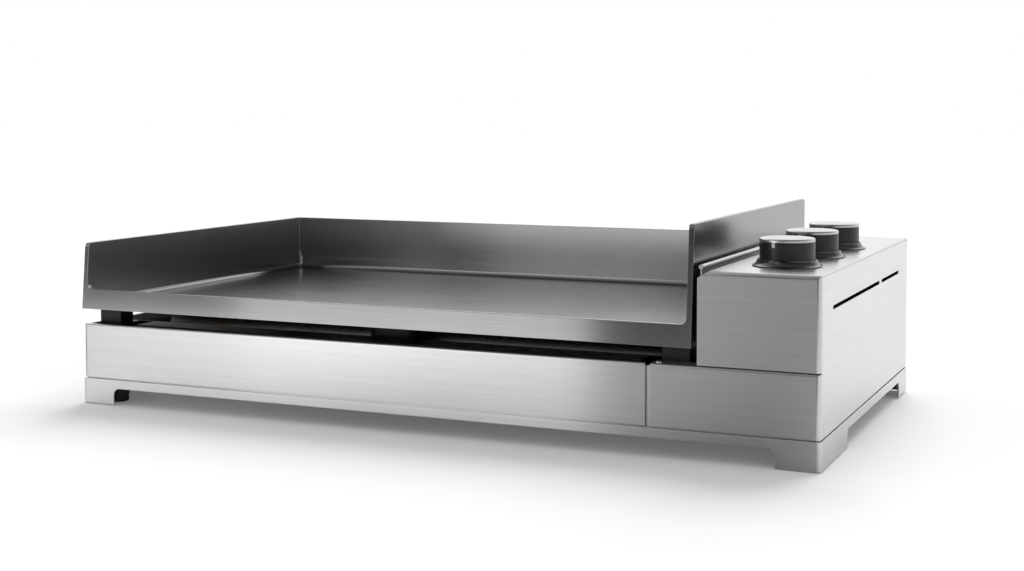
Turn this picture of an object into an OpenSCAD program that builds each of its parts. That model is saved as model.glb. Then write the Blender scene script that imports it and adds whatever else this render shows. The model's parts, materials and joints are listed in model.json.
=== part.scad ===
// Countertop gas griddle. A stainless steel chassis carries a lift-off steel plate
// over three burners, and the gas controls sit in a box at its right end.
// X runs to the right, Y to the back, and Z up from the table.

/* [Station] */
// Width over the base
station_w = 900; // [890:1:960]
// Depth over the base
chassis_d = 484; // [480:1:520]
// How far the panels stand in from the base's faces
panel_inset = 1.2; // [0.8:0.1:2]
// Thickness of the panels' sheet
sheet_t = 1.5; // [1.2:0.1:2]
// Outer radius of the panels' vertical and top front bends
bend_r = 5; // [4:0.5:7]
// Shadow gap between two fixed panels
seam = 1; // [0.6:0.1:1.6]
// Width of the panels' hidden flanges
flange_w = 12; // [10:0.5:14]
// Height of the front and left panels' top edge
panel_top_z = 97; // [95:0.5:100]
// Height of the control box above the panels' top edge
box_h = 97; // [93:0.5:107]

/* [Base] */
// Thickness of the base's sheet
base_t = 2; // [1.5:0.1:2.5]
// Height of the base's top face
base_top_z = 31; // [29:0.5:33]
// Height of the skirt's edge between the legs
skirt_edge_z = 20.5; // [18:0.5:23]
// Clearance of the sheet legs above the table
leg_end_z = 1; // [0.5:0.1:2]
// Width of each leg on the front and the back
leg_w = 46; // [40:1:60]
// Width of each front leg on the side
leg_front_d = 124; // [90:1:150]
// Width of each rear leg on the side
leg_rear_d = 54; // [40:1:80]
// Radius of the inner corners beside the legs
leg_r = 8; // [4:0.5:12]
// Height of the raised seat that the panels stand on
seat_h = 1; // [0.6:0.1:1.5]
// How far the raised seat lies in from the base's faces
seat_inset = 3; // [2.5:0.1:3.5]
// Length of an air slot in the base
base_slot_l = 70; // [50:1:80]
// Width of an air slot in the base
base_slot_w = 6; // [4:0.5:8]
// Distance of the outer air slots' middles from the base's ends
base_slot_margin = 187.5; // [150:0.5:220]
// Number of air slots in each row
base_slots = 6; // [3:1:6]
// Radius of a rubber foot at the table
foot_tip_r = 12; // [9:0.5:14]
// Radius of a rubber foot under the base
foot_r = 15; // [12:0.5:18]
// Distance of a foot's axis from the base's faces
foot_inset = 30; // [26:1:36]

/* [Panel slots] */
// How far the slots' middle line lies below the control box's top
slot_drop = 37; // [30:1:45]
// Height of a slot
slot_h = 4; // [3:0.5:6]
// Distance of the long slot from the front
slot_from = 54; // [45:1:65]
// Length of the long slot
slot_long_l = 248; // [230:1:260]
// Bridge between the two slots
slot_bridge = 12; // [8:1:20]
// Distance of the short slot from the rear
slot_end = 59; // [50:1:80]
// Length of an outlet slot in the rear panel
rear_slot_l = 60; // [40:1:70]
// Height of an outlet slot in the rear panel
rear_slot_h = 5; // [4:0.5:7]
// Number of outlet slots in the rear panel
rear_slots = 7; // [3:1:7]
// Distance of the outer outlet slots' middles from the ends of the plate's bay
rear_slot_margin = 101.5; // [80:0.5:120]
// How far the outlet slots lie below the panels' top edge
rear_slot_drop = 19; // [17:0.5:22]

/* [Drawer] */
// Width of the lower front panel beside the drawer
lower_w = 175.8; // [172:0.1:190]
// Shadow gap between the drawer's front and the lower front panel
drawer_seam = 5; // [3:0.5:6]
// Clearance of the drawer's front above the base's seat
drawer_lift = 0.4; // [0.3:0.1:0.8]
// Depth of the return along the drawer front's top edge
drawer_hem = 3.5; // [3:0.5:8]
// Thickness of the grease tray's sheet
tray_t = 1; // [0.8:0.1:1.2]
// Depth of the grease tray from rim to bottom
tray_h = 20; // [15:0.5:21]
// How much shorter the grease tray is than the base
tray_short = 54; // [46:1:90]
// Width of the grease tray's side rims
rim_w = 8; // [6:0.5:9]
// Height of the grease tray's rims above the base's seat
rim_rise = 24; // [23:0.5:25]
// Clearance between the drawer and what guides it
slide_gap = 0.3; // [0.3:0.1:0.5]
// Width of a drawer runner
runner_w = 11; // [10:0.5:12]

/* [Griddle plate] */
// Gap between the plate and the control box
plate_gap = 6; // [5:0.5:10]
// How far the plate stands out behind the base
plate_over = 6; // [2:1:8]
// Thickness of the plate's floor
floor_t = 6; // [4:0.5:8]
// Thickness of the plate's walls and lip
wall_t = 6; // [4:0.5:8]
// Height of the plate's underside above the panels' top edge
plate_rise = 18; // [16:0.5:21]
// Height of the front lip above the floor
lip_h = 17.4; // [10:0.2:25]
// Height of the left and back walls above the underside
wall_h = 79.5; // [60:0.5:90]
// Height of the right wall above the underside
tall_wall_h = 125; // [100:0.5:140]
// Backward lean of the plate's front in degrees
lean = 5; // [2:0.5:7]
// Radius of the bends inside the plate
plate_bend_r = 6; // [4:0.5:8]
// Radius of the walls' rounded top corners
wall_corner_r = 5; // [3:0.5:8]
// Length of the grease slot
grease_slot_l = 60; // [40:1:80]
// Width of the grease slot
grease_slot_w = 22; // [16:1:24]
// Distance of the grease slot's middle from the plate's front
grease_slot_y = 88; // [86:1:92]
// Length of the grease chute under the plate
chute_l = 42; // [30:1:46]
// Thickness of the grease chute
chute_t = 1.5; // [1:0.1:2]

/* [Plate supports] */
// Distance of the supports from the plate's ends
support_in = 8.5; // [8:0.5:12]
// Width of a support
support_w = 30; // [28:0.5:31]
// Depth of a support
support_d = 24; // [20:0.5:26]
// Thickness of a support's sheet
support_t = 2; // [1.5:0.1:3]
// Radius of a locating stud
stud_r = 4; // [3:0.25:5]
// Length of a locating stud
stud_l = 9; // [6:0.5:12]
// Clearance around a locating stud
stud_gap = 0.6; // [0.5:0.1:1]
// Depth of each rail
rail_d = 36; // [32:1:40]
// Height of each rail
rail_h = 16; // [12:0.5:18]
// How far each rail's top lies below the panels' top edge
rail_drop = 1.5; // [1.5:0.1:2]
// Distance of the front rail from the panels' front
rail_from = 23; // [21:0.5:26]
// Width of the notches beside the supports
notch_w = 21; // [16:0.5:22]
// Depth of the notches beside the supports
notch_h = 10; // [6:0.5:11]

/* [Burners] */
// Outer radius of a burner tube
burner_r = 17; // [15:0.5:18]
// Wall of a burner tube
burner_t = 1.2; // [0.8:0.1:1.5]
// How far the burners' axes lie below the panels' top edge
burner_drop = 15; // [14:0.5:16]
// Distance of the first burner from the front
burner_first = 135; // [130:1:140]
// Distance of the last burner from the rear
burner_last = 95; // [90:1:110]
// Distance of the burners' closed ends from the left end
burner_from = 42; // [30:1:60]
// How far the mixing tubes reach into the control box
mix_out = 20; // [17:0.5:21]
// Length of a burner's taper
taper_l = 24; // [18:1:26]
// Outer radius of a burner's mixing tube
mix_r = 11; // [10:0.5:12]
// Length of a burner's mixing tube
mix_l = 52; // [48:1:54]
// Width of a flame port
port_w = 1.6; // [1:0.1:2.4]
// Height of a flame port
port_h = 3; // [2:0.5:4]
// Distance from one flame port to the next
port_pitch = 15; // [10:0.5:20]
// Distance of the last flame port from a burner's ends
port_margin = 36; // [20:1:60]
// Height of the flame ports above a burner's axis
port_rise = 9; // [6:0.5:11]
// Thickness of the heat baffle
baffle_t = 1; // [0.8:0.1:1.5]

/* [Gas train] */
// Radius of the inlet's thread
inlet_r = 10.48; // [8:0.01:12]
// Radius of the inlet's bore
inlet_bore_r = 7; // [5:0.25:8]
// How far the inlet stands out of the rear panel
inlet_reach = 22; // [18:0.5:30]
// Depth of a bracket of the gas rail
rail_bracket_w = 20; // [18:0.5:24]
// Width across the corners of the inlet's locknut
locknut_w = 31; // [28:0.5:34]
// Thickness of the inlet's locknut
locknut_t = 6; // [4:0.5:8]
// Radius of the gas rail
gas_rail_r = 8; // [7:0.25:9]
// Wall of the gas rail
gas_rail_t = 1.5; // [1:0.1:2]
// How far the gas rail's axis lies below the control box's top
gas_rail_drop = 51; // [48:0.5:54]
// Width of a valve's body
valve_w = 30; // [28:0.5:32]
// Depth of a valve's body
valve_d = 34; // [30:0.5:40]
// Height of a valve's body
valve_h = 30; // [29:0.5:31]
// Radius of a valve's plug
plug_r = 8; // [7:0.25:9]
// Height of a valve's plug
plug_h = 18; // [15:0.5:19]
// Running clearance of the plug and the stem
run_gap = 0.05; // [0.02:0.01:0.1]
// Radius of a valve's stem
stem_r = 3; // [2.5:0.25:3.5]
// Depth of the flat that keys the stem to the plug and the knob
key_flat = 0.8; // [0.5:0.1:1]
// Outer radius of a valve's bonnet
bonnet_r = 9; // [8.5:0.25:10]
// Height of a valve's bonnet
bonnet_h = 16; // [15:0.5:18]
// Radius of a feed tube
feed_r = 4; // [3:0.25:4.5]
// Radius of a feed tube's bends
feed_bend_r = 12; // [9:0.5:14]
// Radius of an electrode's ceramic
ceramic_r = 3.5; // [3:0.25:4]
// Radius of a thermocouple's tip
probe_r = 2.5; // [2:0.25:3]
// Radius of the leads
lead_r = 1.4; // [1:0.1:1.6]

/* [Controls] */
// Width of the control box at the front
box_w = 127; // [125:0.5:132]
// How far the top starts right of the control box's front
top_inset = 12; // [10:0.5:12]
// Height of the clipped corner between the front and the top
clip_h = 7.5; // [5:0.5:10]
// Distance of the knobs' axes from the right end
knob_in = 55; // [52:0.5:58]
// Distance of the first knob from the front
knob_first = 81; // [75:1:85]
// Distance of the last knob from the rear
knob_last = 179; // [179:1:200]
// Radius of a knob
knob_r = 28.5; // [24:0.5:30]
// Height of a knob's top above the panel
knob_top = 29.7; // [26:0.1:34]
// Radius of a bezel at the panel
bezel_r = 36; // [33:0.5:38]
// Height of a bezel
bezel_h = 8; // [6:0.5:9]
// Clearance between a knob and its bezel
knob_gap = 0.8; // [0.5:0.1:1.2]
// Thickness of a knob's metal cap
cap_t = 4; // [3:0.25:5]
// How far a knob goes in
push = 3; // [2:0.1:3.4]
// Height of a pointer insert
pointer_h = 5; // [3:0.5:8]
// Width of a pointer insert
pointer_w = 3.5; // [2:0.1:4]
// How far a pointer insert stands out of its knob
pointer_out = 0.2; // [0.1:0.05:0.3]
// Turn of the pointers from the front in degrees
pointer_turn = -16; // [-60:1:60]

/* [Heat shield] */
// Air gap between the plate and the heat shield
shield_gap = 9; // [7:0.5:9]
// Thickness of the heat shield
shield_t = 1.2; // [1:0.1:1.5]
// Radius of the heat shield's rolled hem
hem_r = 2.5; // [2:0.1:3]
// How far the hem's middle stands above the control box
hem_rise = 3.5; // [3:0.1:5]
// Gap between the heat shield and the lower front panel
shield_lift = 3; // [2:0.5:5]
// Radius of a spacer behind the heat shield
spacer_r = 4; // [3:0.5:5]

/* [Fasteners] */
// Radius of a screw's shank
screw_r = 2; // [1.5:0.1:2.5]
// Radius of a screw's head
screw_head_r = 4; // [3.5:0.1:4.5]
// Height of a screw's head
screw_head_h = 2.2; // [1.5:0.1:2.4]
// Length of a foot screw under its head
foot_screw_l = 14; // [10:0.5:20]
// Length of a panel screw under its head
panel_screw_l = 6; // [4:0.5:8]
// Clearance around a screw
screw_gap = 0.2; // [0.1:0.05:0.4]
// Thickness of a corner bracket
bracket_t = 1.5; // [1.2:0.1:2]
// Width of a corner bracket's legs
bracket_w = 12; // [11.5:0.5:12.5]

/* [Hidden] */
$fn = 48;

// How far a cut runs past the face that it opens
overrun = 1;
// Thickness of the burner wall
burner_wall_t = 1.2;
// Clearance around what passes through the burner wall
pass_gap = 0.3;
// Height of a burner's pilot parts above its axis
pilot_rise = 10;
// Distance of the electrode and the thermocouple from a burner's axis
pilot_side = 26;
// Length of the electrode's and the thermocouple's bodies
pilot_l = 52;
// How far the pilot bodies reach into the control box
pilot_out = 8;
// Radius and thickness of the collar on each pilot body
collar_r = 6;
collar_t = 2;
// Radius of the spark rod and its length
spark_r = 1;
spark_l = 18;
// Hollows inside a valve
valve_floor = 4;
valve_roof = 4;
bonnet_bore_r = 6;
bonnet_roof = 2;
// Retaining collar on a stem
stem_collar_r = 5.5;
stem_collar_h = 1.5;
// Rest clearance above a stem's retaining collar and a plug
rest_gap = 0.3;
// Depth of a stem in its plug and clearance below it
stem_foot = 5;
// Walls of a spring's sleeve
spring_in_r = 3.5;
spring_out_r = 5;
// Radius of the stem's hole in the control cover and the bezel
stem_hole_r = 10;
// Radius of a valve's inlet boss
boss_r = 6;
// Half width of an injector's body, radius of its nut, and its distance from the tube
elbow_half = 7;
nozzle_nut_r = 6;
nozzle_gap = 1;
// Length of the inlet stub inside the rear panel
inlet_inner_l = 12;
// How far the leads run out before they turn up, and their distance from the rail's height
lead_out = 6;
lead_side = 6;
// Clearance of the heat baffle's rim below the burners
baffle_gap = 0.3;
// Width of the left panel's top flange
shelf_w = 7;
// Gap between a support and the notch beside it
notch_gap = 2.5;
// Places of the gas rail's brackets in pitches of the knobs
rail_bracket_shares = [0.5, 1.5];
// Radius of a panel's top outer edge
edge_r = 3;
// Radius of the drawer front's top edge
drawer_edge_r = 2.2;
// Thickness of a bezel's floor, width of its rim, and thickness of its flare's foot
bezel_floor = 2;
bezel_rim = 1.25;
bezel_foot = 1;
// Thickness of a knob's shell, and radius of its hub
knob_wall = 2.5;
hub_r = 7;
// Radius of a knob cap's edge, and depth of a pointer insert in its knob
cap_edge_r = 2;
pointer_t = 1.5;
// Places of the base's slots in depths of the base, and the screws' edge distance
base_slot_shares = [0.36, 0.86];
screw_edge = 8;
// How far the lower front panel's tongue lies behind its front, in the shadow gap
tongue_in = 3.5;
// Places of the spacers in depths of the base, and how far below the box's top they lie
spacer_shares = [0.12, 0.5, 0.88];
spacer_drop = 54;

box_top_z = panel_top_z + box_h;
gas_rail_z = box_top_z - gas_rail_drop;
plate_z = panel_top_z + plate_rise;
burner_z = panel_top_z - burner_drop;
plate_w = station_w - box_w - plate_gap;
plate_d = chassis_d + plate_over;

left = -station_w / 2;
right = station_w / 2;
front = -(chassis_d - panel_inset + inlet_reach) / 2;
rear = front + chassis_d;
panel_left = left + panel_inset;
panel_right = right - panel_inset;
panel_front = front + panel_inset;
panel_rear = rear - panel_inset;
panel_span = panel_right - panel_left;
inner_rear = panel_rear - sheet_t;
seat_z = base_top_z + seat_h;
roof_z = box_top_z - sheet_t;

lower_left = panel_right - lower_w;
tongue_w = drawer_seam - slide_gap;
drawer_w = panel_span - lower_w - drawer_seam;
drawer_right = panel_left + drawer_w;
drawer_z = seat_z + drawer_lift;
tray_l = chassis_d - tray_short;
rim_z = seat_z + rim_rise;
box_left = right - box_w;
top_left = box_left + top_inset;
burner_wall_x = top_left + sheet_t;
room_left = burner_wall_x + burner_wall_t;
runner_wall_x = drawer_right - sheet_t;
shield_x = left + plate_w + shield_gap;

ledge_d = rail_from;
rail_top_z = panel_top_z - rail_drop;
rail_left = panel_left + sheet_t;
rail_l = burner_wall_x - rail_left;
rail_end_x = panel_left + edge_r;
front_rail_y = panel_front + rail_from;
rear_rail_y = inner_rear - rail_from - rail_d;

runner_h = rim_z - tray_t - slide_gap - sheet_t;
runner_top_z = rim_z + slide_gap + sheet_t;
baffle_z = runner_top_z;
baffle_front = front + grease_slot_y + grease_slot_w;

support_h = plate_z - rail_top_z;
support_x = [left + support_in, left + plate_w - support_in - support_w];
support_y = [front_rail_y, rear_rail_y + rail_d - support_d];
notch_x = [support_x[0] + support_w + notch_gap, support_x[1] - notch_gap - notch_w];

burner_left = left + burner_from;
mix_right = room_left + mix_out;
burner_l = mix_right - mix_l - taper_l - burner_left;
burner_pitch = (chassis_d - burner_first - burner_last) / 2;
ports = floor((burner_l - 2 * port_margin) / port_pitch) + 1;

base_slot_pitch = (station_w - 2 * base_slot_margin) / (base_slots - 1);
rear_slot_pitch = (station_w - box_w - 2 * rear_slot_margin) / (rear_slots - 1);
rear_slot_z = panel_top_z - rear_slot_drop;
slot_z = box_top_z - slot_drop;
slot_short_l = chassis_d - slot_from - slot_long_l - slot_bridge - slot_end;

knob_x = right - knob_in;
knob_pitch = (chassis_d - knob_first - knob_last) / 2;
gas_rail_x = knob_x + valve_w / 2 + gas_rail_r;
valve_z = gas_rail_z - valve_h / 2;
plug_z = valve_z + valve_floor;
bonnet_z = valve_z + valve_h;
bonnet_top_z = bonnet_z + bonnet_h;
stem_collar_z = bonnet_top_z - bonnet_roof - rest_gap - stem_collar_h;
spring_z = plug_z + plug_h + rest_gap;
knob_top_z = box_top_z + knob_top;
cap_z = knob_top_z - cap_t;
knob_z = box_top_z + bezel_floor + rest_gap + push;
stem_top_z = cap_z - knob_wall;

steel = "#c9cbcd";
dark_steel = "#55585b";
black = "#26282b";
brass = "#c8a24a";

function burner_y(i) = front + burner_first + i * burner_pitch;
function knob_y(i) = front + knob_first + i * knob_pitch;

// Extrudes an outline drawn in X and Z along Y
module along_y(y, l) {
    translate([0, y + l, 0]) rotate([90, 0, 0]) linear_extrude(l) children();
}

// Extrudes an outline drawn in Y and Z along X
module along_x(x, l) {
    translate([x, 0, 0]) rotate([90, 0, 90]) linear_extrude(l) children();
}

// Extrudes an outline drawn in X and Y along Z
module along_z(z, l) {
    translate([0, 0, z]) linear_extrude(l) children();
}

// A rod along X, Y or Z from a point
module rod_x(x, y, z, l, r) {
    translate([x, y, z]) rotate([0, 90, 0]) cylinder(h = l, r = r);
}

module rod_y(x, y, z, l, r) {
    translate([x, y, z]) rotate([-90, 0, 0]) cylinder(h = l, r = r);
}

module rod_z(x, y, z, l, r) {
    translate([x, y, z]) cylinder(h = l, r = r);
}

// A rectangle with all four corners rounded
module round_plan(x, y, w, d, r) {
    translate([x + r, y]) square([w - 2 * r, d]);
    translate([x, y + r]) square([w, d - 2 * r]);
    for (cx = [x + r, x + w - r], cy = [y + r, y + d - r]) translate([cx, cy]) circle(r);
}

// A slot with round ends along the first axis, given by its middle
module slot_plan(x, y, l, w) {
    translate([x - l / 2 + w / 2, y - w / 2]) square([l - w, w]);
    for (cx = [x - l / 2 + w / 2, x + l / 2 - w / 2]) translate([cx, y]) circle(w / 2);
}

// A passage from below with rounded top corners
module arch(x, w, top) {
    translate([x, -overrun]) square([w, top - leg_r + overrun]);
    translate([x + leg_r, -overrun]) square([w - 2 * leg_r, top + overrun]);
    for (cx = [x + leg_r, x + w - leg_r]) translate([cx, top - leg_r]) circle(leg_r);
}

// A bent sheet wall with a flange at its foot and one at its rounded top
module wall_channel(h, top_w, foot_w, t, r) {
    square([t, h - r]);
    square([foot_w, t]);
    translate([r, h - t]) square([top_w - r, t]);
    translate([r, h - r]) intersection() {
        difference() {
            circle(r);
            circle(r - t);
        }
        translate([-r, 0]) square(r);
    }
}

// A block with its top front edge rounded and one vertical front edge rounded
module bent_block(x, y, z, w, d, h, side_r, top_r, at_right) {
    side_x = at_right ? x + w - side_r : x + side_r;
    flat_x = at_right ? x : x + side_r;
    intersection() {
        along_z(z, h) {
            translate([flat_x, y]) square([w - side_r, d]);
            translate([x, y + side_r]) square([w, d - side_r]);
            translate([side_x, y + side_r]) circle(side_r);
        }
        along_x(x, w) {
            translate([y, z]) square([d, h - top_r]);
            translate([y + top_r, z]) square([d - top_r, h]);
            translate([y + top_r, z + h - top_r]) circle(top_r);
        }
    }
}

module box(x, y, z, w, d, h) {
    translate([x, y, z]) cube([w, d, h]);
}

module foot_places() {
    for (x = [left + foot_inset, right - foot_inset], y = [front + foot_inset, rear - foot_inset])
        translate([x, y, 0]) children();
}

// Base frame: an inverted tray whose skirt ends in four corner legs
module base_frame() {
    hollow_h = base_top_z - base_t - leg_end_z;
    row_from = left + base_slot_margin;
    color(steel) difference() {
        union() {
            along_z(leg_end_z, base_top_z - leg_end_z) round_plan(left, front, station_w, chassis_d, bend_r);
            along_z(base_top_z - base_t, base_t + seat_h)
                round_plan(left + seat_inset, front + seat_inset, station_w - 2 * seat_inset,
                    chassis_d - 2 * seat_inset, bend_r - seat_inset / 2);
        }
        along_z(leg_end_z - overrun, hollow_h + overrun)
            round_plan(left + base_t, front + base_t, station_w - 2 * base_t,
                chassis_d - 2 * base_t, bend_r - base_t);
        along_y(front - overrun, chassis_d + 2 * overrun)
            arch(left + leg_w, station_w - 2 * leg_w, skirt_edge_z);
        along_x(left - overrun, station_w + 2 * overrun)
            arch(front + leg_front_d, chassis_d - leg_front_d - leg_rear_d, skirt_edge_z);
        for (share = base_slot_shares, i = [0 : base_slots - 1])
            along_z(base_top_z - base_t - overrun, base_t + seat_h + 2 * overrun)
                slot_plan(row_from + i * base_slot_pitch, front + share * chassis_d, base_slot_l, base_slot_w);
        foot_places() cylinder(h = box_top_z, r = screw_r + screw_gap);
    }
}

// Rubber feet: tapered feet inside the corner legs
module rubber_feet() {
    foot_h = base_top_z - base_t;
    color(black) foot_places() difference() {
        cylinder(h = foot_h, r1 = foot_tip_r, r2 = foot_r);
        translate([0, 0, seat_z - foot_screw_l - overrun])
            cylinder(h = foot_screw_l + overrun, r = screw_r + run_gap);
    }
}

// Foot screws: pan heads on the base's seat, shanks down into the feet
module foot_screws() {
    color(steel) foot_places() {
        translate([0, 0, seat_z]) cylinder(h = screw_head_h, r = screw_head_r);
        translate([0, 0, seat_z - foot_screw_l]) cylinder(h = foot_screw_l, r = screw_r);
    }
}

// Left panel: a plain wall with a flange at its foot and its top
module left_panel() {
    from = panel_front + bend_r + seam;
    color(steel) translate([panel_left, 0, seat_z]) along_y(from, inner_rear - from)
        wall_channel(panel_top_z - seat_z, shelf_w, flange_w, sheet_t, edge_r);
}

// Right panel: one wall from the base to the top, with two cooling slots in line
module right_panel() {
    from = panel_front + bend_r + seam / 2;
    long_y = front + slot_from + slot_long_l / 2;
    short_y = front + slot_from + slot_long_l + slot_bridge + slot_short_l / 2;
    color(steel) difference() {
        translate([panel_right, 0, seat_z]) along_y(from, inner_rear - from)
            mirror([1, 0]) wall_channel(roof_z - seat_z, flange_w, flange_w, sheet_t, edge_r);
        along_x(panel_right - sheet_t - overrun, sheet_t + 2 * overrun) {
            slot_plan(long_y, slot_z, slot_long_l, slot_h);
            slot_plan(short_y, slot_z, slot_short_l, slot_h);
        }
    }
}

// Places of the screws that hold the rear panel, seen in X and Z
module rear_screw_places() {
    for (x = [panel_left + sheet_t + screw_edge, panel_right - sheet_t - screw_edge],
         z = [seat_z + 2 * screw_edge, panel_top_z - 2 * screw_edge])
        translate([x, panel_rear, z]) children();
    translate([panel_right - sheet_t - screw_edge, panel_rear, roof_z - 2 * screw_edge]) children();
    translate([room_left + screw_edge, panel_rear, roof_z - 2 * screw_edge]) children();
}

// Rear panel: low behind the plate and tall behind the control box
module rear_panel() {
    slots_from = left + rear_slot_margin;
    color(steel) difference() {
        union() {
            box(panel_left, inner_rear, seat_z, panel_span, sheet_t, panel_top_z - seat_z);
            box(top_left, inner_rear, seat_z, panel_right - top_left, sheet_t, roof_z - seat_z);
            box(panel_left + sheet_t + bracket_w + seam, inner_rear - flange_w, seat_z,
                runner_wall_x - panel_left - sheet_t - bracket_w - 2 * seam, flange_w, sheet_t);
        }
        along_y(inner_rear - overrun, sheet_t + 2 * overrun)
            for (i = [0 : rear_slots - 1])
                slot_plan(slots_from + i * rear_slot_pitch, rear_slot_z, rear_slot_l, rear_slot_h);
        rod_y(gas_rail_x, inner_rear - overrun, gas_rail_z, sheet_t + 2 * overrun, inlet_r + pass_gap);
        rear_screw_places() rod_y(0, -sheet_t - overrun, 0, sheet_t + 2 * overrun, screw_r + screw_gap);
    }
}

// Lower front panel: bent round the right corner, with a deep top flange
module lower_front_panel() {
    w = panel_right - lower_left;
    h = panel_top_z - seat_z;
    color(steel) difference() {
        union() {
            bent_block(lower_left, panel_front, seat_z, w, ledge_d, h, bend_r, edge_r, true);
            box(lower_left - tongue_w, panel_front + tongue_in, seat_z,
                tongue_w + sheet_t, sheet_t, h - edge_r);
        }
        bent_block(lower_left + sheet_t, panel_front + sheet_t, seat_z + sheet_t, w - 2 * sheet_t,
            ledge_d, h - 2 * sheet_t, bend_r - sheet_t, edge_r - sheet_t, true);
        box(lower_left - overrun, panel_front + flange_w, seat_z - overrun,
            w + 2 * overrun, ledge_d, h - sheet_t + overrun);
        box(panel_right - sheet_t, panel_front + bend_r, seat_z - overrun,
            sheet_t + overrun, ledge_d, h + 2 * overrun);
        box(panel_right - flange_w - slide_gap, panel_front + bend_r, seat_z - overrun,
            flange_w + slide_gap, ledge_d, flange_w);
        rod_z(lower_left + screw_edge, panel_front + flange_w / 2 + sheet_t,
            panel_top_z - sheet_t - overrun, sheet_t + 2 * overrun, screw_r + screw_gap);
    }
}

// Control cover: front and top of the control box, bent from one sheet
module control_cover() {
    z = panel_top_z + seam;
    w = panel_right - box_left;
    d = panel_rear - panel_front;
    h = box_top_z - z;
    color(steel) difference() {
        union() {
            difference() {
                bent_block(box_left, panel_front, z, w, d, h, bend_r, bend_r, true);
                bent_block(box_left + sheet_t, panel_front + sheet_t, z - overrun, w - 2 * sheet_t,
                    d, h - sheet_t + overrun, bend_r - sheet_t, bend_r - sheet_t, true);
                box(panel_right - sheet_t, panel_front + bend_r, z - overrun,
                    sheet_t + overrun, d, h - sheet_t + overrun);
                box(box_left - overrun, panel_front + flange_w, z - overrun,
                    top_inset + overrun, d, h + 2 * overrun);
            }
            box(top_left, panel_front + flange_w, roof_z - flange_w,
                sheet_t, inner_rear - panel_front - flange_w, flange_w);
            box(box_left + sheet_t, panel_front + sheet_t, z,
                w - sheet_t - bend_r, flange_w - sheet_t, sheet_t);
        }
        along_y(panel_front - overrun, d + 2 * overrun)
            polygon([[box_left - overrun, box_top_z - clip_h], [box_left, box_top_z - clip_h],
                [top_left, box_top_z], [top_left, box_top_z + overrun],
                [box_left - overrun, box_top_z + overrun]]);
        for (i = [0 : 2])
            rod_z(knob_x, knob_y(i), roof_z - overrun, sheet_t + 2 * overrun, stem_hole_r);
    }
}

// Burner wall: closes the control box towards the burners
module burner_wall() {
    low_from = panel_front + ledge_d + seam;
    high_from = panel_front + flange_w + seam;
    color(steel) difference() {
        union() {
            box(burner_wall_x, low_from, seat_z, burner_wall_t, inner_rear - low_from, roof_z - seat_z);
            box(burner_wall_x, high_from, panel_top_z, burner_wall_t, ledge_d, roof_z - panel_top_z);
            box(burner_wall_x, low_from, seat_z, flange_w, inner_rear - low_from, burner_wall_t);
            box(burner_wall_x, high_from, roof_z - burner_wall_t,
                flange_w, inner_rear - high_from, burner_wall_t);
        }
        for (i = [0 : 2]) {
            rod_x(burner_wall_x - overrun, burner_y(i), burner_z,
                burner_wall_t + 2 * overrun, mix_r + pass_gap);
            rod_x(burner_wall_x - overrun, burner_y(i) - pilot_side, burner_z + pilot_rise,
                burner_wall_t + 2 * overrun, ceramic_r + pass_gap);
            rod_x(burner_wall_x - overrun, burner_y(i) + pilot_side, burner_z + pilot_rise,
                burner_wall_t + 2 * overrun, probe_r + pass_gap);
        }
    }
}

// Heat shield: an upright sheet with a rolled hem, beside the plate's tall wall
module heat_shield() {
    z = panel_top_z + shield_lift;
    from = panel_front + sheet_t + slide_gap;
    hem_z = box_top_z + hem_rise;
    color(steel) along_y(from, inner_rear - from) {
        translate([shield_x, z]) square([shield_t, hem_z - z]);
        translate([shield_x + shield_t / 2, hem_z]) circle(hem_r);
    }
}

// Shield spacers: carry the heat shield on the burner wall
module shield_spacers() {
    x = shield_x + shield_t;
    color(steel) for (share = spacer_shares)
        rod_x(x, front + share * chassis_d, box_top_z - spacer_drop, burner_wall_x - x, spacer_r);
}

// A rail across the chassis, open below and notched beside the supports
module rail(y) {
    color(dark_steel) difference() {
        box(rail_end_x, y, rail_top_z - rail_h, burner_wall_x - rail_end_x, rail_d, rail_h);
        box(rail_end_x - overrun, y + sheet_t, rail_top_z - rail_h - overrun,
            rail_l + 2 * overrun, rail_d - 2 * sheet_t, rail_h - sheet_t + overrun);
        for (x = notch_x)
            box(x, y - overrun, rail_top_z - notch_h, notch_w, rail_d - sheet_t + overrun, rail_h);
    }
}

module front_rail() {
    rail(front_rail_y);
}

module rear_rail() {
    rail(rear_rail_y);
}

// Plate supports: folded brackets on the rails, each with a hole for a stud
module plate_supports() {
    color(dark_steel) for (x = support_x, y = support_y) difference() {
        box(x, y, rail_top_z, support_w, support_d, support_h);
        box(x + support_t, y + support_t, rail_top_z + support_t,
            support_w - 2 * support_t, support_d, support_h - 2 * support_t);
        rod_z(x + support_w / 2, y + support_d / 2, plate_z - support_t - overrun,
            support_t + 2 * overrun, stud_r + stud_gap);
    }
}

// Runner wall: carries the right runner and both rails' right ends
module runner_wall() {
    from = front_rail_y;
    h = rail_top_z - rail_h - seat_z;
    color(steel) {
        box(runner_wall_x, from, seat_z, sheet_t, inner_rear - from, baffle_z - seat_z);
        box(runner_wall_x, from, seat_z, flange_w, inner_rear - from, sheet_t);
        for (y = [front_rail_y, rear_rail_y]) box(runner_wall_x, y, seat_z, sheet_t, rail_d, h);
    }
}

// A runner's section, open towards the tray
module runner_section() {
    z = rim_z - tray_t - slide_gap - sheet_t;
    difference() {
        translate([0, z]) square([runner_w, runner_top_z - z]);
        translate([sheet_t, z + sheet_t]) square([runner_w, runner_top_z - z - 2 * sheet_t]);
    }
}

// Drawer runners: two channels that hold the grease tray's rims
module drawer_runners() {
    from = front_rail_y;
    color(steel) along_y(from, tray_l - rail_from) {
        translate([rail_left, 0]) runner_section();
        translate([runner_wall_x, 0]) mirror([1, 0]) runner_section();
    }
}

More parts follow.
